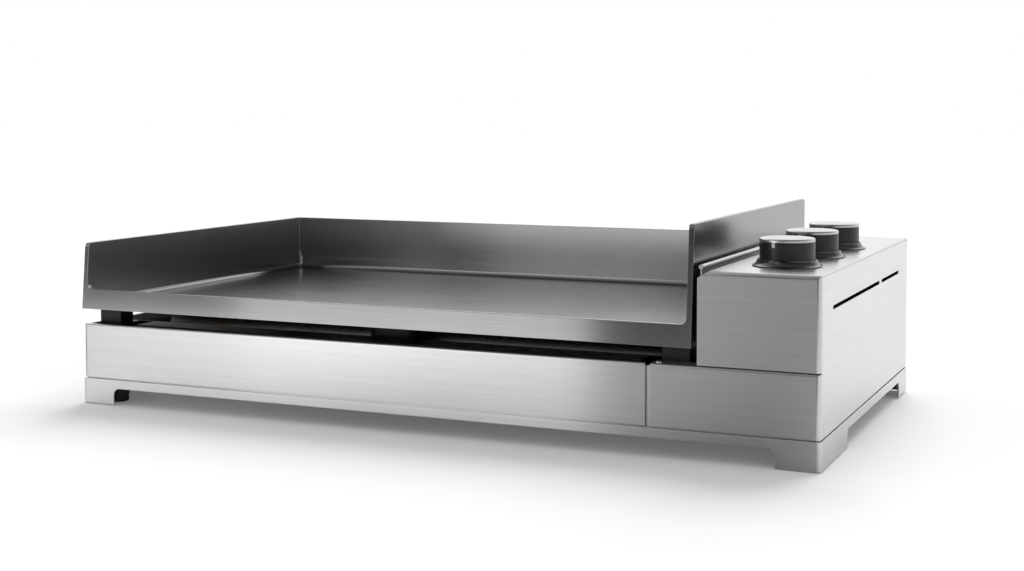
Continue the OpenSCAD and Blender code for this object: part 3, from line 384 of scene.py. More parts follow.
@dataclass(frozen=True)
class SpunMetal(Finish):
    """Metal turned on a lathe, with fine rings round its axis.

    Attributes:
        axis_x: the axis's place along X.
        axis_y: the axis's place along Y.
    """

    axis_x: float = 0.0
    axis_y: float = 0.0

    def pattern(self, recipe: Recipe) -> Socket:
        """Rings of uneven strength.

        Args:
            recipe: the tree that they go into.

        Returns:
            The pattern, from 0 to 1.
        """
        across = recipe.point(Point.PLACE, (1.0, 1.0, 0.0), (self.axis_x, self.axis_y, 0.0))
        radius = recipe.add("VectorMath", {0: across}, operation="LENGTH").outputs["Value"]
        rings = recipe.add("CombineXYZ", {"X": radius}).outputs[0]
        scaled = recipe.add("VectorMath", {0: rings, "Scale": self.pitch}, operation="SCALE").outputs[0]
        return recipe.noise(scaled, detail=3.0, rough=0.7)


@dataclass(frozen=True)
class Moulded(Finish):
    """Moulded plastic, rubber or glazed ceramic.

    Attributes:
        coat: strength of the clear skin over it.
        coat_rough: that skin's roughness.
    """

    coat: float = 0.0
    coat_rough: float = 0.12

    def dress(self, recipe: Recipe, tone: Socket) -> Socket:
        """Adds the clear skin.

        Args:
            recipe: the tree.
            tone: the finish's tone.

        Returns:
            The tone as it was.
        """
        recipe.feed("Coat Weight", self.coat)
        recipe.feed("Coat Roughness", self.coat_rough)
        return tone


STAINLESS = BrushedSheet("brushed_stainless", (0.68, 0.68, 0.682), (0.84, 0.84, 0.842),
                         rough=(0.27, 0.33), depth=0.000004, pitch=1500.0, clouding=0.15,
                         spread=0.2, streak=0.5)
TRAY_STEEL = BrushedSheet("tray_stainless", (0.5, 0.5, 0.505), (0.66, 0.66, 0.665),
                          rough=(0.3, 0.42), depth=0.000012, pitch=1200.0, clouding=0.4)
PLATE_STEEL = BrushedSheet("plate_steel", (0.27, 0.27, 0.273), (0.35, 0.35, 0.353),
                           rough=(0.17, 0.22), depth=0.000001, pitch=1900.0, clouding=0.35,
                           pull=0.45, streak=0.3)
MILL_STEEL = Finish("mill_steel", (0.24, 0.24, 0.25), (0.38, 0.38, 0.39), rough=(0.34, 0.5),
                    pitch=700.0)
# Painted shade: near-black steel for the pieces in the gap under the plate, standing for the shade that
# falls there
GAP_SHADE_STEEL = Finish("gap_shade_steel", (0.025, 0.024, 0.023), (0.06, 0.058, 0.056), rough=(0.34, 0.5),
                      pitch=700.0)
BURNER_STEEL = HeatedSteel("burner_steel", (0.3, 0.29, 0.28), (0.46, 0.45, 0.44), rough=(0.35, 0.5))
SCREW_STEEL = Finish("screw_steel", (0.5, 0.5, 0.51), (0.68, 0.68, 0.69), rough=(0.2, 0.32),
                     pitch=1500.0)
SPRING_STEEL = Finish("spring_steel", (0.38, 0.39, 0.41), (0.52, 0.53, 0.55), rough=(0.25, 0.35))
BRASS = Finish("brass", (0.6, 0.43, 0.17), (0.78, 0.6, 0.28), rough=(0.2, 0.34), pitch=1100.0)
COPPER = Finish("copper_lead", (0.52, 0.28, 0.17), (0.74, 0.44, 0.3), rough=(0.22, 0.36), pitch=1100.0)
DRAWN_ALUMINIUM = Finish("feed_aluminium", (0.62, 0.62, 0.63), (0.78, 0.78, 0.79), rough=(0.26, 0.38))
CAST_ALUMINIUM = Finish("cast_aluminium", (0.48, 0.48, 0.49), (0.68, 0.68, 0.69), rough=(0.42, 0.6),
                        depth=0.00008, pitch=500.0)
DARK_CHROME = Finish("dark_chrome", (0.1, 0.1, 0.105), (0.16, 0.16, 0.165), rough=(0.16, 0.22),
                     depth=0.000004, pitch=600.0)
KNOB_BLACK = Moulded("knob_black", (0.008, 0.008, 0.009), (0.015, 0.015, 0.016), metallic=0.0,
                     rough=(0.34, 0.44), depth=0.00002, pitch=2200.0, coat=0.05)
POINTER_GREY = Moulded("pointer_white", (0.66, 0.66, 0.65), (0.8, 0.8, 0.79), metallic=0.0,
                       rough=(0.35, 0.45), depth=0.00001, coat=0.1)
RUBBER = Moulded("foot_rubber", (0.018, 0.018, 0.018), (0.04, 0.04, 0.04), metallic=0.0,
                 rough=(0.65, 0.85), depth=0.00008, pitch=1400.0)
CERAMIC = Moulded("ceramic", (0.76, 0.75, 0.71), (0.88, 0.87, 0.84), metallic=0.0,
                  rough=(0.25, 0.35), depth=0.00002, coat=0.5)
SILICONE = Moulded("silicone", (0.38, 0.07, 0.04), (0.5, 0.12, 0.08), metallic=0.0,
                   rough=(0.5, 0.65), depth=0.00004, pitch=1200.0)

SLOT_FINISH = {
    "brushed_stainless": STAINLESS, "mill_steel": MILL_STEEL, "screw_steel": SCREW_STEEL,
    "spring_steel": SPRING_STEEL, "plate_steel": PLATE_STEEL, "foot_rubber": RUBBER,
    "brass": BRASS, "copper_lead": COPPER, "feed_aluminium": DRAWN_ALUMINIUM,
    "cast_aluminium": CAST_ALUMINIUM, "knob_black": KNOB_BLACK, "pointer_white": POINTER_GREY,
    "dark_chrome": DARK_CHROME, "ceramic": CERAMIC, "silicone": SILICONE,
}


# ---------------------------------------------------------------- making pieces


class Bench:
    """The tools that every maker shares.

    Attributes:
        MERGE_GAP: how close two corners are when they are one, in metres.
        FLAT_TURN: the greatest turn between faces that count as one flat, in degrees.
        ROUND_DIGITS: the digits of a metre that tell solids' places apart.
    """

    MERGE_GAP = 0.002 * MM
    FLAT_TURN = 0.5
    ROUND_DIGITS = 4

    @staticmethod
    def only(piece: Piece) -> None:
        """Selects one piece alone.

        Args:
            piece: the piece, which also becomes the active one.
        """
        bpy.ops.object.select_all(action="DESELECT")
        piece.select_set(True)
        bpy.context.view_layer.objects.active = piece

    @staticmethod
    def edit(piece: Piece) -> None:
        """Opens one piece for face editing.

        Args:
            piece: the piece, all of which is selected.
        """
        Bench.only(piece)
        bpy.ops.object.mode_set(mode="EDIT")
        bpy.ops.mesh.select_mode(type="FACE")
        bpy.ops.mesh.select_all(action="SELECT")

    @staticmethod
    def close() -> None:
        """Leaves edit mode."""
        bpy.ops.object.mode_set(mode="OBJECT")

    @staticmethod
    def pick(piece: Piece, wanted: Callable[[bmesh.types.BMFace], bool]) -> None:
        """Selects some faces of the piece in edit mode.

        Args:
            piece: the piece.
            wanted: the test that a selected face passes.
        """
        bpy.ops.mesh.select_all(action="DESELECT")
        mesh = bmesh.from_edit_mesh(piece.data)
        for face in mesh.faces:
            face.select_set(wanted(face))
        bmesh.update_edit_mesh(piece.data)

    @staticmethod
    def modify(piece: Piece, kind: str, **settings: Any) -> None:
        """Adds a modifier and applies it.

        Args:
            piece: the piece.
            kind: the modifier's type.
            settings: its settings.
        """
        Bench.only(piece)
        modifier = piece.modifiers.new(kind.lower(), kind)
        for name, value in settings.items():
            setattr(modifier, name, value)
        bpy.ops.object.modifier_apply(modifier=modifier.name)

    @staticmethod
    def settle(piece: Piece) -> None:
        """Puts a piece's origin at the row frame's, with its place in its mesh."""
        Bench.only(piece)
        bpy.ops.object.transform_apply(location=True, rotation=True, scale=True)

    @staticmethod
    def smooth(piece: Piece, angle: float = 32.0) -> None:
        """Shades a piece smoothly, with its flats kept flat.

        Args:
            piece: the piece.
            angle: the least turn of an edge that stays sharp, in degrees.
        """
        Bench.only(piece)
        bpy.ops.object.shade_smooth_by_angle(angle=math.radians(angle))
        Bench.modify(piece, "WEIGHTED_NORMAL", keep_sharp=True, mode="FACE_AREA")

    @staticmethod
    def map_grain(piece: Piece) -> None:
        """Gives a piece a map in metres, with U along the sheet's length on every side.

        Args:
            piece: the piece.
        """
        Bench.edit(piece)
        bpy.ops.uv.cube_project(cube_size=1.0, correct_aspect=False)
        Bench.close()
        piece.data.uv_layers[0].name = GRAIN_MAP

    @staticmethod
    def copy_of(node: str, name: str) -> Piece:
        """A copy of a frame node with its loose triangles joined into whole faces.

        Args:
            node: the frame node.
            name: the copy's name.

        Returns:
            The copy, which belongs to no body yet.
        """
        Bench.only(frame["nodes"][node])
        bpy.ops.object.duplicate()
        piece = bpy.context.active_object
        piece.name = name
        piece.parent = None
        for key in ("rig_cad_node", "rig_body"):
            del piece[key]
        Bench.edit(piece)
        bpy.ops.mesh.remove_doubles(threshold=Bench.MERGE_GAP)
        bpy.ops.mesh.dissolve_limited(angle_limit=math.radians(Bench.FLAT_TURN))
        Bench.close()
        return piece

    @staticmethod
    def solids(node: str) -> list[tuple[Vector, Vector]]:
        """Finds each separate solid in a frame node.

        Args:
            node: the frame node.

        Returns:
            The lowest and highest corner of each, in the order of their places.
        """
        piece = Bench.copy_of(node, "solids")
        Bench.edit(piece)
        bpy.ops.mesh.separate(type="LOOSE")
        Bench.close()
        corners = []
        for part in list(bpy.context.selected_objects):
            places = [vertex.co for vertex in part.data.vertices]
            low = Vector(min(place[n] for place in places) for n in range(3))
            high = Vector(max(place[n] for place in places) for n in range(3))
            corners.append((low, high))
            bpy.data.objects.remove(part)
        return sorted(corners, key=lambda box: tuple(round(x, Bench.ROUND_DIGITS) for x in box[0]))

    @staticmethod
    def turned(name: str, profile: Sequence[tuple[float, float]], sides: int = 96,
               bore: float | None = None) -> Piece:
        """A round solid, extruded ring by ring from its foot.

        Args:
            name: the piece's name.
            profile: radius and height of each ring, in metres.
            sides: how many sides the rings have.
            bore: the radius of a hole from the last ring's height to the first one's.

        Returns:
            The piece, upright on the row frame's origin.
        """
        bpy.ops.object.select_all(action="DESELECT")
        radius, height = profile[0]
        bpy.ops.mesh.primitive_circle_add(vertices=sides, radius=radius, fill_type="NGON",
                                          location=(0.0, 0.0, height))
        piece = bpy.context.active_object
        piece.name = name
        Bench.settle(piece)
        Bench.edit(piece)
        for (radius, height), (next_radius, next_height) in pairwise(profile):
            Bench.raise_ring(next_height - height, next_radius / radius, next_height)
        if bore is not None:
            first_height = profile[0][1]
            Bench.raise_ring(0.0, bore / profile[-1][0], profile[-1][1])
            Bench.pick(piece, lambda face: len(face.verts) == sides and
                       abs(face.calc_center_median().z - first_height) < HAIR and
                       abs(face.verts[0].co.xy.length - profile[0][0]) < HAIR)
            Bench.raise_ring(0.0, bore / profile[0][0], first_height)
            Bench.pick(piece, lambda face: len(face.verts) == sides)
            bpy.ops.mesh.bridge_edge_loops()
        bpy.ops.mesh.select_all(action="SELECT")
        bpy.ops.mesh.normals_make_consistent(inside=False)
        Bench.close()
        return piece

    @staticmethod
    def raise_ring(rise: float, growth: float, height: float) -> None:
        """Extrudes the selected face along Z and scales it about the axis."""
        bpy.ops.mesh.extrude_region_move(TRANSFORM_OT_translate={"value": (0.0, 0.0, rise)})
        bpy.ops.transform.resize(value=(growth, growth, 1.0), center_override=(0.0, 0.0, height))

    @staticmethod
    def hexagon(piece: Piece, operation: str, radius: float, depth: float, middle: float = 0.0,
                turn: float = 0.0) -> None:
        """Cuts an upright hexagonal prism out of a piece, or the piece down to the prism.

        Args:
            piece: the piece.
            operation: DIFFERENCE to cut the prism out, INTERSECT to keep what is inside it.
            radius: the prism's radius over its corners.
            depth: its height.
            middle: the height of its middle.
            turn: how far it is turned about the Z axis, in radians.
        """
        bpy.ops.object.select_all(action="DESELECT")
        bpy.ops.mesh.primitive_cylinder_add(vertices=HEXAGON, radius=radius, depth=depth,
                                            location=(0.0, 0.0, middle), rotation=(0.0, 0.0, turn))
        prism = bpy.context.active_object
        Bench.modify(piece, "BOOLEAN", operation=operation, object=prism, solver="EXACT")
        bpy.data.objects.remove(prism)

    @staticmethod
    def stand(piece: Piece, place: Vector, axis: Axis = Axis.UP) -> None:
        """Turns a piece's axis and moves it to its place.

        Args:
            piece: the piece, upright on the row frame's origin.
            place: where its origin goes.
            axis: the way that its axis points.
        """
        piece.rotation_euler = axis.value
        piece.location = place
        Bench.settle(piece)

    @staticmethod
    def another(piece: Piece, name: str) -> Piece:
        """A second piece of the same shape, with its own mesh.

        Args:
            piece: the first piece.
            name: the second one's name.

        Returns:
            The second piece.
        """
        Bench.only(piece)
        bpy.ops.object.duplicate()
        copy = bpy.context.active_object
        copy.name = name
        return copy


def arc(middle: tuple[float, float], radius: float, start: float, end: float,
        steps: int) -> list[tuple[float, float]]:
    """Points on an arc.

    Args:
        middle: the arc's middle.
        radius: its radius.
        start: the angle of its first point, in degrees.
        end: the angle of its last point, in degrees.
        steps: into how many steps it is divided.

    Returns:
        The points, in order.
    """
    angles = [math.radians(start + (end - start) * n / steps) for n in range(steps + 1)]
    return [(middle[0] + radius * math.cos(a), middle[1] + radius * math.sin(a)) for a in angles]


def in_metres(points: Iterable[tuple[float, float]]) -> list[tuple[float, float]]:
    """A profile in millimetres as one in metres."""
    return [(radius * MM, height * MM) for radius, height in points]


def round_size(low: Vector, high: Vector) -> tuple[float, float]:
    """The radius and height in millimetres of an upright round solid between two corners."""
    return (high.x - low.x) / 2 / MM, (high.z - low.z) / MM


def foot_middle(low: Vector, high: Vector) -> Vector:
    """The middle of the lower side of the box between two corners."""
    return Vector(((low.x + high.x) / 2, (low.y + high.y) / 2, low.z))


# ---------------------------------------------------------------- sub-assemblies


@dataclass
class SubAssembly:
    """A group of pieces that are made together.

    Attributes:
        made: the pieces made so far.
    """

    made: list[Piece] = field(default_factory=list)

    def paint(self, piece: Piece, finish: Finish) -> None:
        """Gives a piece one finish all over."""
        piece.data.materials.clear()
        piece.data.materials.append(finish.material())

    def enter(self, piece: Piece, finish: Finish, *nodes: str) -> Piece:
        """Paints a piece, sets it on its nodes' body and lets it stand for them.

        Args:
            piece: the piece.
            finish: its finish.
            nodes: the frame nodes that it stands for.

        Returns:
            The piece.
        """
        self.paint(piece, finish)
        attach(piece, frame["nodes"][nodes[0]]["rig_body"])
        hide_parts(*nodes)
        self.made.append(piece)
        return piece

    def ease(self, node: str, width: float, finish: Finish | None = None, steps: int = 2,
             angle: float = 40.0) -> Piece:
        """Remakes a frame node with its edges eased and its grain mapped.

        Args:
            node: the frame node.
            width: how wide its edges are eased.
            finish: its finish, or None for its slot's own.
            steps: the faces across an eased edge.
            angle: the least turn between two faces that makes their edge a sharp one, in degrees.

        Returns:
            The piece.
        """
        piece = Bench.copy_of(node, f"{node}_piece")
        Bench.modify(piece, "BEVEL", width=width, segments=steps, limit_method="ANGLE",
                     angle_limit=math.radians(angle), use_clamp_overlap=False)
        Bench.map_grain(piece)
        Bench.smooth(piece)
        return self.enter(piece, finish or SLOT_FINISH[SLOTS[node]], node)

    def keep(self, node: str, finish: Finish | None = None) -> None:
        """Gives a frame node that stays its finish.

        Args:
            node: the frame node.
            finish: its finish, or None for its slot's own.
        """
        material = (finish or SLOT_FINISH[SLOTS[node]]).material()
        piece = frame["nodes"][node]
        for slot in piece.material_slots:
            slot.material = material
        self.made.append(piece)


@dataclass
class Chassis(SubAssembly):
    """Base, panels, inner sheets, feet and screws.

    Attributes:
        fold_ease: how wide the outer sheets' cut edges are eased.
        inner_ease: how wide the inner sheets' cut edges are eased.
        panels: the outer sheets.
        inner: the inner sheets of plain steel.
        gap_shade_pieces: the pieces that stand in the gap under the hot plate, whose near-black steel
            is painted shade for that gap.
        foot_taper: a foot's lower radius in its upper radii.
        foot_edge: radius of a foot's lower edge in millimetres.
        foot_groove: height and depth of the groove round a foot, in millimetres.
        groove_half: half the groove's height at its floor and at its mouth, in millimetres.
        foot_bevel: width and height of a foot's upper bevel in millimetres.
        foot_sides: how many sides a foot has.
        foot_angle: the least turn of a foot's edge that stays sharp, in degrees.
        head_h: height of a screw's head in radii of it.
        shank_share: a screw shank's radius in radii of the head.
        tip_share: radius and height of a shank's tip in radii of the shank.
        head_step: the bevel under a screw's head in millimetres.
        head_edge: radius of a screw head's edge in millimetres.
        head_drop: how far that edge's middle lies under the head's top, in radii of that edge.
        head_dome: how far round that edge goes, in degrees.
        screw_sides: how many sides a screw has.
        socket_share: width of a screw's hexagonal socket in widths of its head.
        socket_depth: the socket's depth in millimetres.
    """

    fold_ease: float = 0.35 * MM
    inner_ease: float = 0.25 * MM
    panels: tuple[str, ...] = ("base_frame", "left_panel", "right_panel", "rear_panel",
                               "lower_front_panel", "control_cover", "heat_shield")
    inner: tuple[str, ...] = ("burner_wall", "runner_wall", "drawer_runners", "heat_baffle",
                              "corner_brackets", "burner_rests", "rail_brackets")
    gap_shade_pieces: tuple[str, ...] = ("front_rail", "rear_rail", "plate_supports")
    foot_taper: float = 0.8
    foot_edge: float = 1.5
    foot_groove: tuple[float, float] = (7.0, 1.2)
    groove_half: tuple[float, float] = (1.0, 1.5)
    foot_bevel: tuple[float, float] = (0.4, 0.6)
    foot_sides: int = 72
    foot_angle: float = 40.0
    head_h: float = 0.55
    shank_share: float = 0.5
    tip_share: tuple[float, float] = (0.6, 0.5)
    head_step: float = 0.2
    head_edge: float = 1.0
    head_drop: float = 1.2
    head_dome: float = 70.0
    screw_sides: int = 36
    socket_share: float = 0.5
    socket_depth: float = 1.2

    def build(self) -> None:
        """Builds the chassis."""
        for node in self.panels:
            self.ease(node, self.fold_ease)
        for node in self.inner:
            self.ease(node, self.inner_ease, MILL_STEEL)
        # Near-black steel on these pieces is painted shade for the gap under the plate
        for node in self.gap_shade_pieces:
            self.ease(node, self.inner_ease, GAP_SHADE_STEEL)
        self.keep("shield_spacers")
        self.build_feet()
        self.build_screws("foot_screws")
        self.build_screws("panel_screws")

    def build_feet(self) -> None:
        """Turns the rubber feet, each with a grooved side and a rounded lower edge."""
        places = Bench.solids("rubber_feet")
        top_r, height = round_size(*places[0])
        tip_r = top_r * self.foot_taper
        lean = (top_r - tip_r) / height
        groove_z, groove_depth = self.foot_groove
        floor_half, mouth_half = self.groove_half
        bevel_w, bevel_h = self.foot_bevel
        edge = self.foot_edge
        profile = [(tip_r - 3 * edge, edge / 2), (tip_r - 2 * edge, 0.0)]
        profile += arc((tip_r - edge, edge), edge, -90.0, 0.0, steps=5)
        for rise, cut in ((-mouth_half, 0.0), (-floor_half, groove_depth),
                          (floor_half, groove_depth), (mouth_half, 0.0)):
            z = groove_z + rise
            profile.append((tip_r + lean * z - cut, z))
        profile += [(top_r - bevel_w, height - bevel_h), (top_r - 2 * bevel_w, height)]
        model = Bench.turned("rubber_foot", in_metres(profile), sides=self.foot_sides)
        Bench.smooth(model, self.foot_angle)
        for number, (low, high) in enumerate(places, 1):
            foot = Bench.another(model, f"rubber_foot_{number}")
            Bench.stand(foot, foot_middle(low, high))
            self.enter(foot, RUBBER, "rubber_feet")
        bpy.data.objects.remove(model)

    def build_screws(self, node: str) -> None:
        """Turns a node's screws, each with a domed head and a hexagonal socket.

        Args:
            node: the frame node.
        """
        for number, (low, high) in enumerate(Bench.solids(node), 1):
            size = high - low
            middle = (low + high) / 2
            axis = Axis.BACK if size.y > size.x + HAIR else Axis.UP
            length = max(size.y, size.z)
            head_r = size.x / 2
            place = Vector((middle.x, middle.y, high.z))
            if axis is Axis.BACK:
                place = Vector((middle.x, high.y, middle.z))
            screw = self.screw(f"{node}_{number}", head_r / MM, length / MM)
            Bench.stand(screw, place, axis)
            self.enter(screw, SCREW_STEEL, node)

    def screw(self, name: str, head_r: float, length: float) -> Piece:
        """A pan head screw with its head's top on the row frame's origin.

        Args:
            name: the screw's name.
            head_r: its head's radius in millimetres.
            length: its whole length in millimetres.

        Returns:
            The screw, upright.
        """
        head_h = head_r * self.head_h
        shank_r = head_r * self.shank_share
        tip_r, tip_h = (shank_r * share for share in self.tip_share)
        edge, step = self.head_edge, self.head_step
        profile = [(tip_r, -length), (shank_r, -length + tip_h), (shank_r, -head_h),
                   (head_r - step, -head_h), (head_r, -head_h + step)]
        profile += arc((head_r - edge, -edge * self.head_drop), edge, 0.0, self.head_dome,
                       steps=5)
        profile.append((head_r * self.socket_share, 0.0))
        screw = Bench.turned(name, in_metres(profile), sides=self.screw_sides)
        Bench.hexagon(screw, "DIFFERENCE", head_r * self.socket_share * MM,
                      2 * self.socket_depth * MM)
        Bench.smooth(screw)
        return screw


@dataclass
class CookingPlate(SubAssembly):
    """The lift-off plate with its studs and its grease chute.

    Attributes:
        edge: how wide the plate's cut edges are eased.
        edge_angle: the least turn of an edge that is eased, in degrees.
        edge_steps: the faces across an eased edge.
        chute_ease: how wide the chute's edges are eased.
    """

    edge: float = 0.5 * MM
    edge_angle: float = 70.0
    edge_steps: int = 3
    chute_ease: float = 0.3 * MM

    def build(self) -> None:
        """Builds the plate."""
        self.ease("griddle_plate", self.edge, PLATE_STEEL, steps=self.edge_steps,
                  angle=self.edge_angle)
        # The chute's near-black steel is painted shade for the gap under the plate
        self.ease("grease_chute", self.chute_ease, GAP_SHADE_STEEL)
        self.keep("plate_studs")


@dataclass
class GreaseDrawer(SubAssembly):
    """The drawer's front and its tray.

    Attributes:
        front_ease: how wide the front's cut edges are eased.
        tray_ease: how wide the tray's cut edges are eased.
    """

    front_ease: float = 0.35 * MM
    tray_ease: float = 0.25 * MM

    def build(self) -> None:
        """Builds the drawer."""
        self.ease("drawer_front", self.front_ease)
        self.ease("grease_tray", self.tray_ease, TRAY_STEEL)


@dataclass
class GasTrain(SubAssembly):
    """Inlet, rail, valves, tubes, burners and their pilots.

    Attributes:
        thread_pitch: the inlet thread's pitch in millimetres.
        thread_depth: its depth in millimetres.
        thread_form: where a thread's crest starts, where it ends and where the next root
            starts, in pitches.
        stub_bevel: the bevel at the stub's end in millimetres.
        stub_sides: how many sides the stub has.
        stub_angle: the least turn of the stub's edge that stays sharp, in degrees.
        panel_t: the rear panel's thickness in millimetres.
        nut_h: a locknut's thickness in millimetres.
        nut_chamfer: the height of a locknut's chamfer in millimetres.
        nut_play: how far a blank nut stands past its hexagon's corners, in millimetres.
        nut_grip: how far a nut reaches into the thread's crests, in millimetres.
        nut_ease: how wide a nut's edges are eased.
        nut_angle: the least turn of a nut's edge that is eased or stays sharp, in degrees.
        nut_sides: how many sides a blank nut has.
        bore_r: radius of the inlet's bore in millimetres.
    """

    thread_pitch: float = 1.8
    thread_depth: float = 1.1
    thread_form: tuple[float, float, float] = (0.35, 0.55, 0.9)
    stub_bevel: float = 0.4
    stub_sides: int = 64
    stub_angle: float = 30.0
    panel_t: float = 1.5
    nut_h: float = 6.0
    nut_chamfer: float = 0.9
    nut_play: float = 0.2
    nut_grip: float = 0.02
    nut_ease: float = 0.2 * MM
    nut_angle: float = 25.0
    nut_sides: int = 72
    bore_r: float = 7.0

    def build(self) -> None:
        """Builds the gas train."""
        self.build_inlet()
        for place in KNOB_PLACES:
            self.keep(f"burner_{place}", BURNER_STEEL)
            for node in ("valve", "valve_plug", "valve_spring", "valve_stem"):
                self.keep(f"{node}_{place}")
        for node in ("gas_rail", "feed_tubes", "injectors", "electrodes", "thermocouples",
                     "ignition_leads", "thermocouple_leads"):
            self.keep(node)

    def build_inlet(self) -> None:
        """Turns the threaded stub and sets its two locknuts on the rear panel."""
        low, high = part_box("gas_inlet")
        panel_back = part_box("rear_panel")[1].y
        middle = (low + high) / 2
        nut_r = (high.x - low.x) / 2 / MM
        mount = next(row for row in frame["record"]["mounts"] if row["name"] == "gas_inlet")
        crest_r = mount["dims"]["r_mm"]
        length = (high.y - low.y) / MM
        root_r = crest_r - self.thread_depth
        pitch, bevel = self.thread_pitch, self.stub_bevel
        rise, fall, root = self.thread_form
        profile = [(root_r, 0.0)]
        z = pitch / 2
        while z < length - pitch:
            profile += [(root_r, z), (crest_r, z + rise * pitch), (crest_r, z + fall * pitch),
                        (root_r, z + root * pitch)]
            z += pitch
        profile += [(root_r, length - bevel), (root_r - bevel, length)]
        stub = Bench.turned("gas_inlet_stub", in_metres(profile), sides=self.stub_sides,
                            bore=self.bore_r * MM)
        Bench.smooth(stub, self.stub_angle)
        Bench.stand(stub, Vector((middle.x, low.y, middle.z)), Axis.BACK)
        self.enter(stub, BRASS, "gas_inlet")
        inner_y = panel_back - self.panel_t * MM - self.nut_h * MM
        for name, y in (("outer", panel_back), ("inner", inner_y)):
            nut = self.nut(f"gas_inlet_nut_{name}", nut_r, crest_r)
            Bench.stand(nut, Vector((middle.x, y, middle.z)), Axis.BACK)
            self.enter(nut, BRASS, "gas_inlet")

    def nut(self, name: str, corner_r: float, hole_r: float) -> Piece:
        """A chamfered hexagonal nut that stands on the row frame's origin.

        Args:
            name: the nut's name.
            corner_r: the radius over its corners in millimetres.
            hole_r: its hole's radius in millimetres.

        Returns:
            The nut, upright.
        """
        height, chamfer = self.nut_h, self.nut_chamfer
        flat_r = corner_r * math.cos(math.pi / HEXAGON)
        blank_r = corner_r + self.nut_play
        ring = [(flat_r, 0.0), (blank_r, chamfer), (blank_r, height - chamfer), (flat_r, height)]
        nut = Bench.turned(name, in_metres(ring), sides=self.nut_sides,
                           bore=(hole_r - self.nut_grip) * MM)
        Bench.hexagon(nut, "INTERSECT", corner_r * MM, 3 * height * MM, middle=height * MM / 2,
                      turn=math.pi / HEXAGON)
        Bench.modify(nut, "BEVEL", width=self.nut_ease, segments=2, limit_method="ANGLE",
                     angle_limit=math.radians(self.nut_angle), use_clamp_overlap=True)
        Bench.smooth(nut, self.nut_angle)
        return nut


